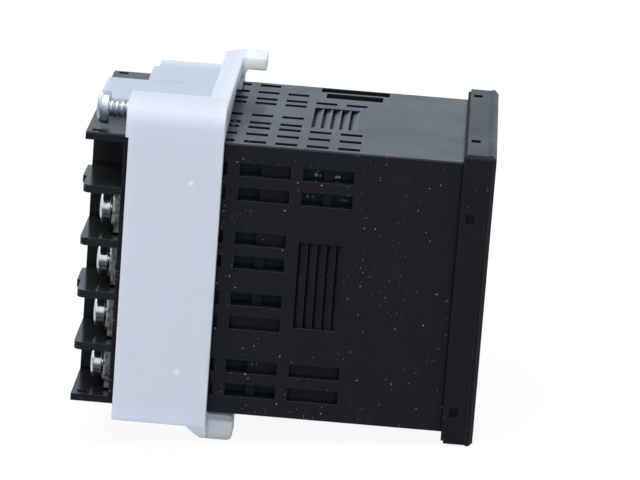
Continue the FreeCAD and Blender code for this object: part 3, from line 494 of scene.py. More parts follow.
def make_dust():
    """Scattered pale specks, each in its own random cell and thicker where the dust has drifted."""
    group = Group("dust", (
        ("Spacing", FLOAT, 1.2, 0.01), ("Speck Radius", FLOAT, 0.08), ("Share", FLOAT, 0.3),
    ), MASK)
    given = group.given
    ragged = group.take("Color", "ShaderNodeTexNoise", {"Vector": group.spot(), "Scale": RAGGED_SCALE})
    shifted = group.take("Vector", "ShaderNodeVectorMath", {0: ragged, 1: RAGGEDNESS, 2: group.spot()},
                         operation="MULTIPLY_ADD")
    cells = group.add("ShaderNodeTexVoronoi", {
        "Vector": shifted, "Scale": group.maths("DIVIDE", PER_METRE, given["Spacing"])}).outputs
    chance = group.add("ShaderNodeSeparateColor", {"Color": cells["Color"]}).outputs
    size = group.maths("MULTIPLY", chance["Green"], given["Speck Radius"])
    inside = group.maths("LESS_THAN", cells["Distance"], group.maths("DIVIDE", size, given["Spacing"]))
    heaped = group.maths("POWER", group.noise(DRIFT_SCALE, Detail=2.0), DRIFT_SHARPNESS)
    raised = group.maths("MULTIPLY", heaped, DRIFT_GAIN)
    local_share = group.maths("MULTIPLY", raised, given["Share"])
    chosen = group.maths("LESS_THAN", chance["Red"], local_share)
    mask = group.maths("MULTIPLY", inside, chosen)
    return group.give(Mask=group.maths("MULTIPLY", mask, chance["Blue"]))


def make_edge_wear():
    """Softly rounded corners for the light, and a mask of where they are rubbed paler."""
    group = Group("edge_wear", (("Reach", FLOAT, 0.25), ("Amount", FLOAT, 0.5)),
                  (("Mask", FLOAT), ("Normal", VECTOR)))
    reach = group.maths("MULTIPLY", group.given["Reach"], MM)
    rounded = group.take("Normal", "ShaderNodeBevel", {"Radius": reach}, samples=4)
    true = group.take("Normal", "ShaderNodeNewGeometry")
    alike = group.take("Value", "ShaderNodeVectorMath", {0: rounded, 1: true}, operation="DOT_PRODUCT")
    turn = group.maths("SUBTRACT", 1.0, alike)
    broken = group.maths("MULTIPLY", turn, group.noise(WEAR_PATCH_SCALE, Detail=3.0))
    strong = group.maths("MULTIPLY", broken, WEAR_GAIN)
    return group.give(Mask=group.maths("MULTIPLY", strong, group.given["Amount"], clamp=True),
                      Normal=rounded)


def make_hairlines():
    """Long fine scratches in one direction, kept to a share of the surface."""
    group = Group("hairlines", (("Length", FLOAT, 6.0), ("Amount", FLOAT, 0.3)), MASK)
    drawn = group.take("Vector", "ShaderNodeMapping", {
        "Vector": group.spot(), "Rotation": HAIRLINE_TURN, "Scale": HAIRLINE_STRETCH})
    lines = group.take("Fac", "ShaderNodeTexNoise", {
        "Vector": drawn, "Detail": 2.0,
        "Scale": group.maths("DIVIDE", HAIRLINE_FINENESS, group.given["Length"])})
    size = group.maths("ABSOLUTE", group.maths("SUBTRACT", lines, 0.5))
    thin = group.maths("LESS_THAN", size, HAIRLINE_WIDTH)
    where = group.maths("GREATER_THAN", group.noise(HAIRLINE_PATCH_SCALE), HAIRLINE_PATCH_START)
    mask = group.maths("MULTIPLY", thin, where)
    return group.give(Mask=group.maths("MULTIPLY", mask, group.given["Amount"]))


def make_gate_mark():
    """A small round mark on the two side walls where the melt came in, fading out round its middle."""
    group = Group("gate_mark", (("Y", FLOAT, 0.0), ("Z", FLOAT, 0.0), ("Radius", FLOAT, 0.5, 0.01)), MASK)
    squares = []
    for way in ("Y", "Z"):
        gap = group.maths("SUBTRACT", group.along(way), group.given[way])
        squares.append(group.maths("MULTIPLY", gap, gap))
    distance = group.maths("SQRT", group.maths("ADD", *squares))
    share = group.maths("DIVIDE", distance, group.given["Radius"])
    rise = group.maths("SUBTRACT", 1.0, share, clamp=True)
    return group.give(Mask=group.maths("POWER", rise, GATE_FALLOFF))


def make_painted_backing_shade():
    """Painted shade where the top and bottom walls lie on the dark case: a mask, fading in from the sides,
    that darkens them as if the case showed through a little.
    """
    group = Group("backed_wall", (
        ("Half Width", FLOAT, 20.0), ("Fade", FLOAT, 4.0, 0.01), ("Lowest", FLOAT, 24.0),
        ("Highest", FLOAT, 25.2),
    ), MASK)
    given = group.given
    across = group.maths("ABSOLUTE", group.along("X"))
    height = group.maths("ABSOLUTE", group.along("Z"))
    inset = group.maths("SUBTRACT", given["Half Width"], across)
    middle = group.maths("DIVIDE", inset, given["Fade"], clamp=True)
    above = group.maths("GREATER_THAN", height, given["Lowest"])
    below = group.maths("LESS_THAN", height, given["Highest"])
    level = group.maths("MULTIPLY", above, below)
    return group.give(Mask=group.maths("MULTIPLY", middle, level))


def make_painted_lip_light():
    """Painted light on the lip and the lugs in front of a wall and clear of the case: a mask that paints them
    paler, as if more light came through them.
    """
    group = Group("thin_lip", (
        ("Rearmost", FLOAT, 40.0), ("Lowest", FLOAT, 25.0), ("Fade", FLOAT, 1.0, 0.01),
    ), MASK)
    given = group.given
    before = group.maths("SUBTRACT", given["Rearmost"], group.along("Y"))
    height = group.maths("ABSOLUTE", group.along("Z"))
    outside = group.maths("SUBTRACT", height, given["Lowest"])
    front = group.maths("DIVIDE", before, given["Fade"], clamp=True)
    clear = group.maths("DIVIDE", outside, given["Fade"], clamp=True)
    return group.give(Mask=group.maths("MULTIPLY", front, clear))


def make_painted_hollow_shade():
    """How open a spot is, for painted shade in hollows: one on an open face, falling towards nothing deep in
    a groove.
    """
    group = Group("cavity", (("Reach", FLOAT, 1.0), ("Depth", FLOAT, 1.6)), (("Open", FLOAT),))
    reach = group.maths("MULTIPLY", group.given["Reach"], MM)
    around = group.take("AO", "ShaderNodeAmbientOcclusion", {"Distance": reach}, samples=6)
    return group.give(Open=group.maths("POWER", around, group.given["Depth"]))


GRAIN = make_moulded_grain()
DUST = make_dust()
WEAR = make_edge_wear()
HAIRLINES = make_hairlines()
GATE = make_gate_mark()
PAINTED_BACKING_SHADE = make_painted_backing_shade()
PAINTED_LIP_LIGHT = make_painted_lip_light()
PAINTED_HOLLOW_SHADE = make_painted_hollow_shade()


# ---------------------------------------------------------------- finishes
BLACK = (0.0, 0.0, 0.0)
WHITE = (1.0, 1.0, 1.0)
WORN_EDGE = (0.16, 0.17, 0.18)
DUST_COLOUR = (0.62, 0.64, 0.66)
# Spacing of the specks, and their size and share against those of the finish.
DUST_LAYERS = ((0.9, 1.0, 1.0), (0.55, 0.6, 0.7))
PLASTIC_GLOSS_SPREAD = 0.07
PLASTIC_BUMP = 0.35
METAL_GLOSS_SPREAD = 0.12
METAL_BUMP = 0.4
BRUSH_SCALE = 420.0
BRUSH_DEPTH = 0.08
BRUSH_BUMP = 0.5
BLOTCH_EDGE = 0.2
TRACK_RELIEF = 0.03
WINDOW_ROUGHNESS = 0.04
LIT_PATCH_SCALE = 400.0
LIT_DIMMEST = 0.8


def plastic(name, colour, roughness, gloss=0.3, grain=0.3, relief=0.02, dust=0.3, speck=0.085, wear=0.4,
            worn=WORN_EDGE, scratches=0.0, glow=0.0, rounding=EDGE_SOFTENING, cavity=0.0, painted_light_and_marks=()):
    """A moulded plastic: grained, a little worn at its edges, with dust on it; where asked, painted shade
    darkens its hollows and listed layers of painted light, painted shade and marks go over its colour.
    """
    finish = Finish(name)
    texture = finish.place(GRAIN, Grain_Size=grain, Base_Roughness=roughness,
                           Roughness_Spread=PLASTIC_GLOSS_SPREAD)
    rounded = None
    layers = []
    if wear > 0:
        edge = finish.place(WEAR, Reach=rounding, Amount=wear)
        rounded = edge["Normal"]
        layers.append((edge["Mask"], worn))
    if scratches > 0:
        layers.append((finish.place(HAIRLINES, Length=6.0, Amount=scratches)["Mask"], worn))
    if dust > 0:
        for spacing, size, share in DUST_LAYERS:
            specks = finish.place(DUST, Spacing=spacing, Speck_Radius=speck * size, Share=dust * share)
            layers.append((specks["Mask"], DUST_COLOUR))
    # Painted shade: hollows darkened towards black and their gloss lowered, reaching this far in millimetres.
    if cavity > 0:
        hollow = finish.place(PAINTED_HOLLOW_SHADE, Reach=cavity)["Open"]
        layers.append((finish.maths("SUBTRACT", 1.0, hollow), BLACK))
        gloss = finish.maths("MULTIPLY", hollow, gloss)
    # Listed layers of painted light, painted shade and marks, laid over the colour.
    for group, values, layer_colour in painted_light_and_marks:
        layers.append((finish.place(group, **values)["Mask"], layer_colour))
    if glow > 0:
        finish.shade({"Subsurface Weight": glow, "Subsurface Radius": (0.9, 1.0, 1.15),
                      "Subsurface Scale": 0.003})
    return finish.shade({
        "Base Color": finish.layered(colour, layers), "Roughness": texture["Roughness"],
        "Normal": finish.bump(texture["Height"], relief, PLASTIC_BUMP, rounded), "Specular IOR Level": gloss,
    })


def metal(name, colour, roughness, grain=0.5, relief=0.01, tarnish=None, blotch_size=3.1, blotch_start=0.5,
          brushed=False):
    """A plated or plain metal, its gloss uneven and patches of it tarnished."""
    finish = Finish(name)
    texture = finish.place(GRAIN, Grain_Size=grain, Base_Roughness=roughness,
                           Roughness_Spread=METAL_GLOSS_SPREAD)
    normal = finish.bump(texture["Height"], relief, METAL_BUMP)
    if brushed:
        ridges = finish.take("Fac", "ShaderNodeTexWave", {"Vector": finish.spot(), "Scale": BRUSH_SCALE},
                             wave_profile="TRI")
        normal = finish.bump(ridges, BRUSH_DEPTH, BRUSH_BUMP, normal)
    if tarnish:
        blotch = finish.noise(PER_METRE / blotch_size, Detail=5.0)
        mask = finish.ramp(blotch, blotch_start, blotch_start + BLOTCH_EDGE)
        colour = finish.layered(colour, [(mask, tarnish)])
    return finish.shade({"Base Color": colour, "Roughness": texture["Roughness"], "Normal": normal,
                         "Metallic": 1.0})


def board_finish(name):
    """Green solder mask, darkened with painted shade for the dim inside of the case, with the copper runs
    showing as paler, raised lines.
    """
    finish = Finish(name)
    turned = finish.take("Vector", "ShaderNodeMapping", {
        "Vector": finish.spot(), "Rotation": (0.0, RIGHT_ANGLE, RIGHT_ANGLE)})
    runs = finish.take("Color", "ShaderNodeTexBrick", {
        "Vector": turned, "Scale": 260.0, "Mortar Size": 0.035, "Brick Width": 1.1, "Row Height": 0.32,
        "Color1": BLACK, "Color2": BLACK, "Mortar": WHITE})
    return finish.shade({
        "Base Color": finish.layered((0.0012, 0.013, 0.009), [(runs, (0.003, 0.03, 0.02))]),
        "Normal": finish.bump(runs, TRACK_RELIEF), "Roughness": 0.42, "Specular IOR Level": 0.3,
    })


def window_finish(name):
    """Smoked clear plastic, polished, with a few hairlines."""
    finish = Finish(name)
    lines = finish.place(HAIRLINES, Length=8.0, Amount=0.08)["Mask"]
    return finish.shade({
        "Base Color": (0.22, 0.205, 0.21), "Transmission Weight": 1.0, "IOR": 1.47,
        "Roughness": finish.maths("ADD", lines, WINDOW_ROUGHNESS, clamp=True),
    })


def lit_finish(name, colour, strength):
    """A lit segment of the display, its light a little uneven."""
    finish = Finish(name)
    dimmer = tuple(LIT_DIMMEST * part for part in colour)
    return finish.shade({
        "Base Color": colour, "Roughness": 0.5, "Emission Strength": strength,
        "Emission Color": finish.layered(colour, [(finish.noise(LIT_PATCH_SCALE), dimmer)]),
    })


# The case and the terminal block take painted shade in their hollows.
CASE_BLACK = plastic("case_black", (0.0134, 0.0128, 0.0170), 0.24, gloss=0.15, dust=0.55, speck=0.1,
                     wear=0.15, cavity=0.45, scratches=0.05)
BLOCK_BLACK = plastic("terminal_block_black", (0.0165, 0.0182, 0.0188), 0.17, gloss=0.18, dust=0.04,
                      speck=0.1, wear=0.2, cavity=0.8)
BEZEL_BLACK = plastic("bezel_black", (0.0118, 0.0110, 0.0145), 0.32, gloss=0.12, dust=0.26, wear=0.2)
COVER_BLACK = plastic("cover_black", (0.0070, 0.0070, 0.0092), 0.38, gloss=0.2, dust=0.18)
KEY_GREY = plastic("key_grey", (0.05, 0.053, 0.058), 0.55, dust=0.12, speck=0.1)
SEAL_RUBBER = plastic("seal_rubber", (0.012, 0.012, 0.013), 0.72, gloss=0.2, grain=0.5, dust=0.35, wear=0)

BRACKET_TOP = node_box("mounting_bracket")[1].z - BRACKET_RIM_HEIGHT
GATE_COLOUR = (0.94, 0.96, 1.0)
# Painted shade on the top and bottom walls, painted light on the lip and the lugs, and the two gate marks,
# each with its colour.
BRACKET_PAINTED_LIGHT_AND_GATES = (
    (PAINTED_BACKING_SHADE, {"Half_Width": 22.0, "Fade": 3.0, "Lowest": BRACKET_TOP - 0.4, "Highest": BRACKET_TOP + 0.25},
     (0.50, 0.55, 0.645)),
    (PAINTED_LIP_LIGHT, {"Rearmost": 40.0, "Lowest": BRACKET_TOP + 0.5, "Fade": 2.0}, (0.755, 0.785, 0.875)),
    (PAINTED_LIP_LIGHT, {"Rearmost": 38.0, "Lowest": BRACKET_TOP, "Fade": 0.6}, (0.90, 0.92, 0.94)),
    (GATE, {"Y": 42.8, "Z": 15.9, "Radius": 0.66}, GATE_COLOUR),
    (GATE, {"Y": 43.1, "Z": -15.4, "Radius": 0.66}, GATE_COLOUR),
)
BRACKET_NATURAL = plastic("bracket_natural", (0.66, 0.68, 0.775), 0.46, gloss=0.32, grain=0.6, relief=0.015,
                          dust=0.0, wear=0.1, worn=(0.80, 0.83, 0.88), glow=0.8, rounding=0.3,
                          painted_light_and_marks=BRACKET_PAINTED_LIGHT_AND_GATES)
CERAMIC_TAN = plastic("ceramic_tan", (0.22, 0.16, 0.09), 0.4, dust=0.0, wear=0)
RELAY_SHELL = plastic("relay_shell", (0.02, 0.05, 0.10), 0.4, wear=0.2, dust=0.1)
HEADER_BLACK = plastic("header_black", (0.012, 0.012, 0.013), 0.5, wear=0, dust=0.1)
CHIP_BLACK = plastic("chip_black", (0.014, 0.014, 0.015), 0.55, wear=0, dust=0.1)
SYMBOL_WHITE = plastic("symbol_white", (0.74, 0.75, 0.76), 0.5, wear=0, dust=0.05)
DISPLAY_DARK = plastic("display_dark", (0.010, 0.009, 0.009), 0.3, wear=0, dust=0.0)
UNLIT_SEGMENT = plastic("unlit_segment", (0.06, 0.045, 0.045), 0.4, wear=0, dust=0.0)
CLAMP_ZINC = metal("clamp_zinc", (0.60, 0.635, 0.65), 0.36, relief=0.02, tarnish=(0.38, 0.40, 0.41),
                   blotch_size=1.2)
TERMINAL_ZINC = metal("terminal_zinc", (0.86, 0.81, 0.75), 0.16, relief=0.04, tarnish=(0.48, 0.45, 0.42),
                      blotch_size=1.0)
WASHER_NICKEL = metal("washer_nickel", (0.62, 0.59, 0.56), 0.3, grain=0.7, relief=0.3,
                      tarnish=(0.12, 0.113, 0.106), blotch_size=0.9, blotch_start=0.47)
TIN = metal("dull_tin", (0.55, 0.525, 0.50), 0.34, tarnish=(0.12, 0.113, 0.106), blotch_size=0.8,
            blotch_start=0.44, brushed=True)
BRASS = metal("contact_brass", (0.66, 0.47, 0.20), 0.3, tarnish=(0.38, 0.25, 0.12))
# Solder as pale white plastic, not metal: a painted glint that catches the lamps behind the vents.
PALE_SOLDER_GLINT = plastic("solder", (0.80, 0.80, 0.78), 0.3, gloss=0.8, dust=0.0, wear=0)
CAN_ALUMINIUM = metal("can_aluminium", (0.62, 0.63, 0.65), 0.32)
FERRITE = plastic("ferrite", (0.03, 0.03, 0.032), 0.5, gloss=0.4, dust=0.1)
SHADED_BOARD_GREEN = board_finish("solder_mask_green")
SMOKED = window_finish("smoked_window")
LIT_RED = lit_finish("lit_red", (1.0, 0.03, 0.015), 8.0)
LIT_GREEN = lit_finish("lit_green", (0.10, 1.0, 0.16), 5.0)


# ---------------------------------------------------------------- repeated pieces
def give_copies(tree, copies):
    """Makes the copies real, moves them to the given centre and paints them."""
    real = tree.take("Geometry", "GeometryNodeRealizeInstances", {"Geometry": copies})
    placed = tree.take("Geometry", "GeometryNodeTransform", {
        "Geometry": real, "Translation": tree.given["Centre"]})
    painted = tree.take("Geometry", "GeometryNodeSetMaterial", {
        "Geometry": placed, "Material": tree.given["Finish"]})
    return tree.give(Pieces=painted)


def make_rows_tree():
    """Sets a piece out in columns along X and rows along Z, with one place left free."""
    tree = Group("rows_and_columns", (
        ("Piece", GEOMETRY), ("Columns", INT, 3, 1), ("Rows", INT, 5, 1), ("Column Pitch", FLOAT, 0.01),
        ("Row Pitch", FLOAT, 0.01), ("Centre", VECTOR), ("Left Out", INT, -1), ("Spin", FLOAT, 0.0),
        ("Seed", INT, 4), ("Finish", MATERIAL),
    ), (("Pieces", GEOMETRY),), "GeometryNodeTree")
    given = tree.given
    sizes = []
    for count, pitch in (("Columns", "Column Pitch"), ("Rows", "Row Pitch")):
        sizes.append(tree.maths("MULTIPLY", tree.maths("SUBTRACT", given[count], 1.0), given[pitch]))
    grid = tree.take("Mesh", "GeometryNodeMeshGrid", {
        "Vertices X": given["Columns"], "Vertices Y": given["Rows"], "Size X": sizes[0], "Size Y": sizes[1]})
    upright = tree.take("Geometry", "GeometryNodeTransform", {
        "Geometry": grid, "Rotation": (RIGHT_ANGLE, 0, 0)})
    index = tree.take(0, "GeometryNodeInputIndex")
    free = tree.take("Result", "FunctionNodeCompare", {"A": index, "B": given["Left Out"]},
                     data_type="INT", operation="EQUAL")
    used = tree.take(0, "FunctionNodeBooleanMath", {0: free}, operation="NOT")
    spin = tree.take(1, "FunctionNodeRandomValue", {3: given["Spin"], "Seed": given["Seed"]},
                     data_type="FLOAT")
    turn = tree.take("Vector", "ShaderNodeCombineXYZ", {"Y": spin})
    return give_copies(tree, tree.take("Instances", "GeometryNodeInstanceOnPoints", {
        "Points": upright, "Instance": given["Piece"], "Selection": used, "Rotation": turn}))


def make_scatter_tree():
    """Spreads a piece over a plate in the Y-Z plane, each copy turned square and sized at random."""
    tree = Group("scattered_parts", (
        ("Piece", GEOMETRY), ("Length", FLOAT, 0.03), ("Height", FLOAT, 0.03), ("Spacing", FLOAT, 0.003),
        ("Smallest", FLOAT, 0.4), ("Largest", FLOAT, 1.0), ("Centre", VECTOR), ("Seed", INT, 5),
        ("Finish", MATERIAL),
    ), (("Pieces", GEOMETRY),), "GeometryNodeTree")
    given = tree.given
    plate = tree.take("Mesh", "GeometryNodeMeshGrid", {"Size X": given["Height"], "Size Y": given["Length"]})
    upright = tree.take("Geometry", "GeometryNodeTransform", {
        "Geometry": plate, "Rotation": (0, RIGHT_ANGLE, 0)})
    points = tree.take("Points", "GeometryNodeDistributePointsOnFaces", {
        "Mesh": upright, "Distance Min": given["Spacing"], "Density Max": 1e6, "Seed": given["Seed"],
    }, distribute_method="POISSON")
    quarter = tree.take(2, "FunctionNodeRandomValue", {4: 0, 5: 1, "Seed": given["Seed"]}, data_type="INT")
    turn = tree.take("Vector", "ShaderNodeCombineXYZ", {"X": tree.maths("MULTIPLY", quarter, RIGHT_ANGLE)})
    size = tree.take(1, "FunctionNodeRandomValue", {
        2: given["Smallest"], 3: given["Largest"], "Seed": given["Seed"]}, data_type="FLOAT")
    return give_copies(tree, tree.take("Instances", "GeometryNodeInstanceOnPoints", {
        "Points": points, "Instance": given["Piece"], "Rotation": turn, "Scale": size}))


ROWS = make_rows_tree()
SCATTER = make_scatter_tree()


def repeat(piece, tree, values):
    """Runs a geometry tree on the piece and works the result into its mesh."""
    modifier = piece.modifiers.new(tree.name, "NODES")
    modifier.node_group = tree
    for item in tree.interface.items_tree:
        if item.item_type == "SOCKET" and item.in_out == "INPUT" and item.name in values:
            modifier[item.identifier] = values[item.name]
    work_in(piece)


def dress_terminals():
    """A pan-head screw and a crowned square washer in every bay but the blank one."""
    low, high = node_box("terminal_screws")
    x, _, z = centre_of(low, high)
    common = {
        "Columns": TERMINAL_COLUMNS, "Rows": TERMINAL_ROWS, "Left Out": BLANK_BAY,
        "Column Pitch": (high.x - low.x - 2 * HEAD_RADIUS) / (TERMINAL_COLUMNS - 1) * MM,
        "Row Pitch": (high.z - low.z - 2 * HEAD_RADIUS) / (TERMINAL_ROWS - 1) * MM,
    }
    head = crossed_head("terminal_screw", HEAD_RADIUS, HEAD_DEPTH, HEAD_RIM, HEAD_SIDES)
    repeat(head, ROWS, {**common, "Centre": Vector((x, high.y - HEAD_DEPTH, z)) * MM, "Spin": HEAD_SPIN,
                        "Seed": HEAD_SEED, "Finish": TERMINAL_ZINC})
    add_piece("terminal_screw_heads", head, None, stands_for=("terminal_screws",))
    seat = node_box("terminal_washers")[0].y
    washer = new_object("terminal_washer", mesh_from("washer", *square_washer()))
    smooth_by_angle(washer.data, WASHER_SHARP_ANGLE)
    repeat(washer, ROWS, {**common, "Centre": Vector((x, seat, z)) * MM, "Spin": WASHER_SPIN,
                          "Seed": WASHER_SEED, "Finish": WASHER_NICKEL})
    add_piece("clamping_washers", washer, None, stands_for=("terminal_washers",))


def dress_clamp_screw(node, body):
    """A pan-head screw with a rolled thread; its head is at the rear and its point is forward."""
    low, high = node_box(node)
    x, _, z = centre_of(low, high)
    seat = high.y - CLAMP_HEAD_DEPTH
    rod = mesh_from(node, *threaded_rod(low.y, seat + CLAMP_THREAD_OVERLAP, x, z))
    smooth_by_angle(rod, CLAMP_THREAD_SHARP_ANGLE)
    add_piece(node + "_thread", rod, CLAMP_ZINC, body, (node,))
    head = crossed_head(node, CLAMP_HEAD_RADIUS, CLAMP_HEAD_DEPTH, CLAMP_HEAD_RIM, CLAMP_HEAD_SIDES)
    head.data.transform(Matrix.Translation(Vector((x, seat, z)) * MM))
    add_piece(node + "_head", head, CLAMP_ZINC, body, (node,))


# ---------------------------------------------------------------- front
SEGMENTS = {
    "a": ((0.10, 1.00), (0.90, 1.00)), "b": ((1.00, 0.92), (1.00, 0.56)), "c": ((1.00, 0.44), (1.00, 0.08)),
    "d": ((0.10, 0.00), (0.90, 0.00)), "e": ((0.00, 0.44), (0.00, 0.08)), "f": ((0.00, 0.92), (0.00, 0.56)),
    "g": ((0.12, 0.50), (0.88, 0.50)),
}
LIT = {"0": "abcdef", "1": "bc", "2": "abged", "3": "abgcd", "4": "fgbc", "5": "afgcd", "6": "afgedc",
       "7": "abc", "8": "abcdefg", "9": "abcdfg"}
# Name, digits, their height, how far up the module they stand, and their colour.
DISPLAY_ROWS = (
    ("measured", "0250", LARGE_DIGIT_HEIGHT, 0.55, LIT_RED),
    ("wanted", "0250", SMALL_DIGIT_HEIGHT, 0.10, LIT_GREEN),
)
# Node, body, and the way its arrow points; the first key has a ring instead.
KEYS = (
    ("key_menu", "menu_key", None), ("key_shift", "shift_key", 2 * RIGHT_ANGLE),
    ("key_down", "down_key", 3 * RIGHT_ANGLE), ("key_up", "up_key", RIGHT_ANGLE),
)


def segment_bar(start, end, thickness):
    """The outline of one segment, pointed at both ends."""
    a = Vector(start)
    b = Vector(end)
    along = Vector((end[0] - start[0], end[1] - start[1]))
    along.normalize()
    side = Vector((-along.y, along.x)) * thickness / 2
    tip = along * thickness / 2
    return [tuple(p) for p in (a, a + tip - side, b - tip - side, b, b - tip + side, a + tip + side)]


def digit_segments(character, x, z, height, lit):
    """Outlines of the lit or the unlit segments of one digit; x runs from the front's left."""
    width = height * DIGIT_WIDTH_SHARE
    outlines = []
    for name, ends in SEGMENTS.items():
        if (name in LIT[character]) == lit:
            places = [(x + u * width + v * height * DIGIT_SLANT, z + v * height) for u, v in ends]
            outlines.append(segment_bar(*places, height * SEGMENT_SHARE))
    return outlines


def dress_display():
    """Two rows of seven-segment digits on the face of the display module."""
    low, high = node_box("display_module")
    for name, text, height, share, finish in DISPLAY_ROWS:
        pitch = height * DIGIT_PITCH_SHARE
        offset = height * DIGIT_OFFSET_SHARE
        x = (low.x + high.x) / 2 - pitch * len(text) / 2 + offset
        z = low.z + (high.z - low.z) * share - offset
        for lit, material, kind in ((True, finish, "lit"), (False, UNLIT_SEGMENT, "unlit")):
            parts = []
            for index, character in enumerate(text):
                for outline in digit_segments(character, x + index * pitch, z, height, lit):
                    parts.append(prism(outline, low.y - DIGIT_RELIEF, low.y + DIGIT_SEAT))
            piece = f"{name}_{kind}_segments"
            add_piece(piece, joined(piece, parts), material)


def ring_point(x, z, radius, angle):
    return x + radius * math.cos(angle), z + radius * math.sin(angle)


def dress_keys():
    """Plain raised symbols on the keys: a ring, a left arrow, a down arrow and an up arrow."""
    for node, body, turn in KEYS:
        low, high = node_box(node)
        x, _, z = centre_of(low, high)
        if turn is None:
            outlines = []
            for index in range(RING_SIDES):
                first = 2 * math.pi * index / RING_SIDES
                second = 2 * math.pi * (index + 1) / RING_SIDES
                outlines.append([
                    ring_point(x, z, RING_OUTER, first), ring_point(x, z, RING_OUTER, second),
                    ring_point(x, z, RING_INNER, second), ring_point(x, z, RING_INNER, first)])
        else:
            outlines = [[ring_point(x, z, ARROW_REACH, turn + 2 * math.pi * corner / 3)
                         for corner in range(3)]]
        parts = [prism(outline, low.y - SYMBOL_RELIEF, low.y) for outline in outlines]
        add_piece(node + "_symbol", joined(node + "_symbol", parts), SYMBOL_WHITE, body)


# ---------------------------------------------------------------- inside
# Y, Z, radius and height of each joint.
SOLDER_JOINTS = (
    (24.4, 14.0, 0.16, 0.75), (23.5, 14.0, 0.14, 0.7), (23.3, 17.6, 0.30, 0.35), (22.6, 17.5, 0.20, 0.3),
    (20.1, 17.5, 0.28, 0.35), (19.6, 17.5, 0.24, 0.3), (18.5, 13.8, 0.12, 0.3), (18.1, 13.8, 0.12, 0.3),
    (18.9, 13.8, 0.10, 0.3), (23.0, 18.2, 0.12, 0.5),
)
# Shares of a joint's radius and height, from the board to its tip.
SOLDER_CONE = ((0, 0), (1, 0), (0.8, 0.2), (0.5, 0.6), (0.38, 1), (0, 1))
# Name, size out from the board and along Y and Z, spacing, seed and finish.
BOARD_PARTS = (
    ("chips", (0.9, 3.2, 2.2), 6.5, 11, CHIP_BLACK), ("resistors", (0.4, 1.2, 0.7), 2.6, 3, CHIP_BLACK),
    ("chip_capacitors", (0.6, 1.1, 0.7), 3.6, 8, CERAMIC_TAN), ("joints", (0.25, 0.6, 0.6), 3.1, 21, PALE_SOLDER_GLINT),
)


def dress_solder_joints():
    """Cones of solder round the pins that come through the board behind the vents, in a pale finish that
    paints their glints.
    """
    face = node_box("solder_pins")[1].x
    parts = []
    for y, z, radius, height in SOLDER_JOINTS:
        profile = [(radius * out, height * up) for out, up in SOLDER_CONE]
        points, faces = turned_profile(profile, SOLDER_SIDES)
        parts.append(([(face - rise, y + a, z + b) for a, rise, b in points], faces))
    mesh = joined("solder_joints", parts)
    smooth_by_angle(mesh, SOLDER_SHARP_ANGLE)
    add_piece("solder_joints", mesh, PALE_SOLDER_GLINT, stands_for=("solder_pins",))


def box_part(depth, length, height):
    """A block centred in Y and Z that stands from x = 0 to the given depth."""
    points = []
    for x in (0, depth):
        for y, z in ((-1, -1), (1, -1), (1, 1), (-1, 1)):
            points.append((x, y * length / 2, z * height / 2))
    return points, BOX_FACES


def dress_board(node, side):
    """Surface parts on the outer face of a side board; side is -1 or 1 along X."""
    low, high = node_box(node)
    _, y, z = centre_of(low, high)
    face = high.x if side > 0 else low.x
    for name, (depth, length, height), spacing, seed, finish in BOARD_PARTS:
        piece = new_object(name, mesh_from(name, *box_part(side * depth, length, height)))
        repeat(piece, SCATTER, {
            "Length": (high.y - low.y - 2 * BOARD_MARGIN) * MM,
            "Height": (high.z - low.z - 2 * BOARD_MARGIN) * MM,
            "Centre": Vector((face - side * BOARD_PART_SEAT, y, z)) * MM,
            "Spacing": spacing * MM, "Smallest": SMALLEST_COPY, "Largest": 1.0,
            "Seed": seed, "Finish": finish,
        })
        add_piece(f"{node}_{name}", piece, None)


# ---------------------------------------------------------------- the whole
dress_terminals()
dress_clamp_screw("clamp_screw_upper", "upper_screw")
dress_clamp_screw("clamp_screw_lower", "lower_screw")
dress_display()
dress_keys()
dress_solder_joints()
dress_board("power_board", -1)
dress_board("main_board", 1)

FINISHES = {
    "case": CASE_BLACK, "terminal_block": BLOCK_BLACK, "bezel_frame": BEZEL_BLACK, "front_cover": COVER_BLACK,
    "mounting_bracket": BRACKET_NATURAL, "terminal_screws": TERMINAL_ZINC, "terminal_washers": WASHER_NICKEL,
    "clamp_screw_upper": CLAMP_ZINC, "clamp_screw_lower": CLAMP_ZINC,
    "panel_gasket": SEAL_RUBBER, "display_window": SMOKED, "display_module": DISPLAY_DARK,
    "display_board": SHADED_BOARD_GREEN, "main_board": SHADED_BOARD_GREEN, "power_board": SHADED_BOARD_GREEN,
    "link_board": SHADED_BOARD_GREEN, "key_menu": KEY_GREY, "key_shift": KEY_GREY, "key_down": KEY_GREY,
    "key_up": KEY_GREY, "key_switches": CHIP_BLACK, "board_headers": HEADER_BLACK, "transformer": FERRITE,
    "relays": RELAY_SHELL, "capacitor": CAN_ALUMINIUM, "processor": CHIP_BLACK, "solder_pins": PALE_SOLDER_GLINT,
    "port_contacts": BRASS, "terminal_plates": TIN,
}
for node_name, finish in FINISHES.items():
    node_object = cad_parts[node_name]
    node_object.data.materials.clear()
    node_object.data.materials.append(finish)

# ---------------------------------------------------------------- floor, light and camera
# Y and Z of the bezel's lower edge and of the bracket's lower lug.
FLOOR_CONTACTS = ((-4.5, -24.1), (34.6, -28.3))
FLOOR_REACH = 1500
FLOOR_GLOW = 1.08
FLOOR_GLOW_SHARE = 0.85

# Start, end, and the strength at each, of the mirrored surround's dark side and its ceiling.
DARK_SIDE = (-0.5, 0.2, 0.12, 0.75)
TABLE_EDGE = (-0.22, 0.12)
CEILING = (0.6, 0.95, 1.0, 0.25)

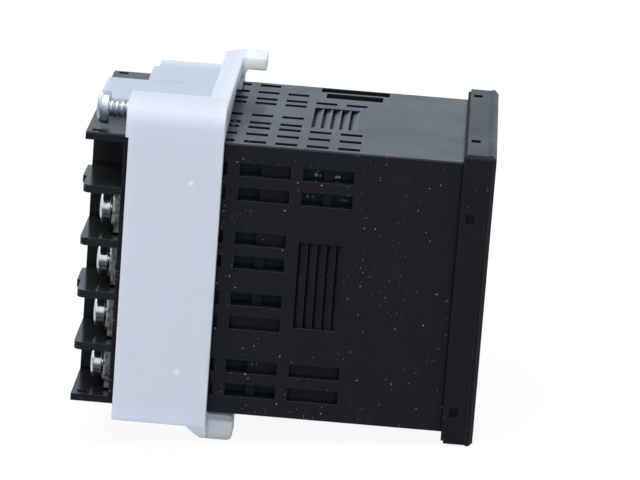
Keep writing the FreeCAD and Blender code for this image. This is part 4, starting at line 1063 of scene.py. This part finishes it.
# Name, place, size, power in watts and colour of each lamp; all are aimed at LAMP_AIM.
LAMP_AIM = (0, 25, 0)
LAMPS = (
    ("key_lamp", (-250, 150, 700), 500, 4.2, (0.92, 0.97, 1.0)),
    ("fill_lamp", (-650, -250, 250), 500, 0.9, (0.92, 0.96, 1.0)),
    ("rear_lamp", (350, 500, 350), 400, 0.8, WHITE),
)

CAMERA_PLACE = (-607.73, 3.324, 167.37)
CAMERA_RIGHT = (0.051221, -0.996045, 0.072604)
CAMERA_UP = (0.259590, 0.083479, 0.962104)
CAMERA_BACK = (-0.964360, -0.030433, 0.262839)
CAMERA_LENS = 214.58


def make_floor():
    """A pale table under the unit, which rests on the bezel's lower edge and the bracket's lower lug."""
    (y_front, z_front), (y_rear, z_rear) = FLOOR_CONTACTS
    slope = (z_rear - z_front) / (y_rear - y_front)
    points = []
    for side, end in ((-1, -1), (1, -1), (1, 1), (-1, 1)):
        y = end * FLOOR_REACH
        points.append((side * FLOOR_REACH, y, z_front + slope * (y - y_front)))
    mesh = bpy.data.meshes.new("floor")
    mesh.from_pydata([Vector(p) * MM for p in points], [], [(0, 1, 2, 3)])
    floor = new_object("floor", mesh)
    finish = Finish("pale_floor")
    mesh.materials.append(finish.shade({
        "Base Color": (0.86, 0.86, 0.86), "Roughness": 0.9, "Specular IOR Level": 0.1}))
    seen = finish.take("Is Camera Ray", "ShaderNodeLightPath")
    mix = finish.take("Shader", "ShaderNodeMixShader", {
        "Fac": finish.maths("MULTIPLY", seen, FLOOR_GLOW_SHARE), 1: finish.shader.outputs["BSDF"],
        2: finish.take("Emission", "ShaderNodeEmission", {"Strength": FLOOR_GLOW})})
    finish.feed(finish.nodes["Material Output"], {"Surface": mix})
    floor.visible_glossy = False


def make_world():
    """White where it is seen, a surround with a dark side where it is mirrored, and else a dimmer light."""
    world = bpy.data.worlds.new("studio")
    bpy.context.scene.world = world
    world.use_nodes = True
    sky = Tree(world.node_tree)
    fill = sky.nodes["Background"]
    sky.feed(fill, {"Color": (0.88, 0.94, 1.0), "Strength": 0.42})
    around = sky.take("Generated", "ShaderNodeTexCoord")
    ways = sky.add("ShaderNodeSeparateXYZ", {"Vector": around}).outputs
    across = sky.ramp(ways["X"], *DARK_SIDE, curve="SMOOTHSTEP")
    raised = sky.ramp(ways["Z"], *TABLE_EDGE, curve="SMOOTHSTEP")
    ceiling = sky.ramp(ways["Z"], *CEILING, curve="SMOOTHSTEP")
    sides = sky.maths("MULTIPLY_ADD", sky.maths("SUBTRACT", 1.0, across), raised, across)
    mirrored = sky.take("Background", "ShaderNodeBackground", {
        "Color": (0.79, 0.91, 1.05), "Strength": sky.maths("MULTIPLY", sides, ceiling)})
    seen = sky.take("Background", "ShaderNodeBackground", {"Color": WHITE})
    path = sky.add("ShaderNodeLightPath").outputs
    either = sky.maths("MAXIMUM", path["Is Glossy Ray"], path["Is Transmission Ray"])
    unseen = sky.take("Shader", "ShaderNodeMixShader", {
        "Fac": either, 1: fill.outputs["Background"], 2: mirrored})
    mix = sky.take("Shader", "ShaderNodeMixShader", {"Fac": path["Is Camera Ray"], 1: unseen, 2: seen})
    sky.feed(sky.nodes["World Output"], {"Surface": mix})


def make_lamp(name, place, size, power, colour):
    """A soft square lamp."""
    lamp = bpy.data.lights.new(name, "AREA")
    lamp.shape = "SQUARE"
    lamp.size = size * MM
    lamp.energy = power
    lamp.color = colour
    made = new_object(name, lamp)
    made.location = Vector(place) * MM
    made.rotation_mode = "QUATERNION"
    made.rotation_quaternion = (Vector(LAMP_AIM) - Vector(place)).to_track_quat("-Z", "Y")


def make_camera():
    """A long lens that looks at the unit's left side from a little above."""
    camera = bpy.data.cameras.new("camera")
    camera.lens = CAMERA_LENS
    camera.sensor_width = 36.0
    camera.clip_start = 0.01
    camera.clip_end = 20.0
    made = new_object("camera", camera)
    turn = Matrix((CAMERA_RIGHT, CAMERA_UP, CAMERA_BACK)).transposed()
    made.matrix_world = Matrix.Translation(Vector(CAMERA_PLACE) * MM) @ turn.to_4x4()
    bpy.context.scene.camera = made


make_floor()
make_world()
for lamp_row in LAMPS:
    make_lamp(*lamp_row)
make_camera()

bpy.context.scene.view_settings.view_transform = "Standard"

bpy.context.view_layer.update()
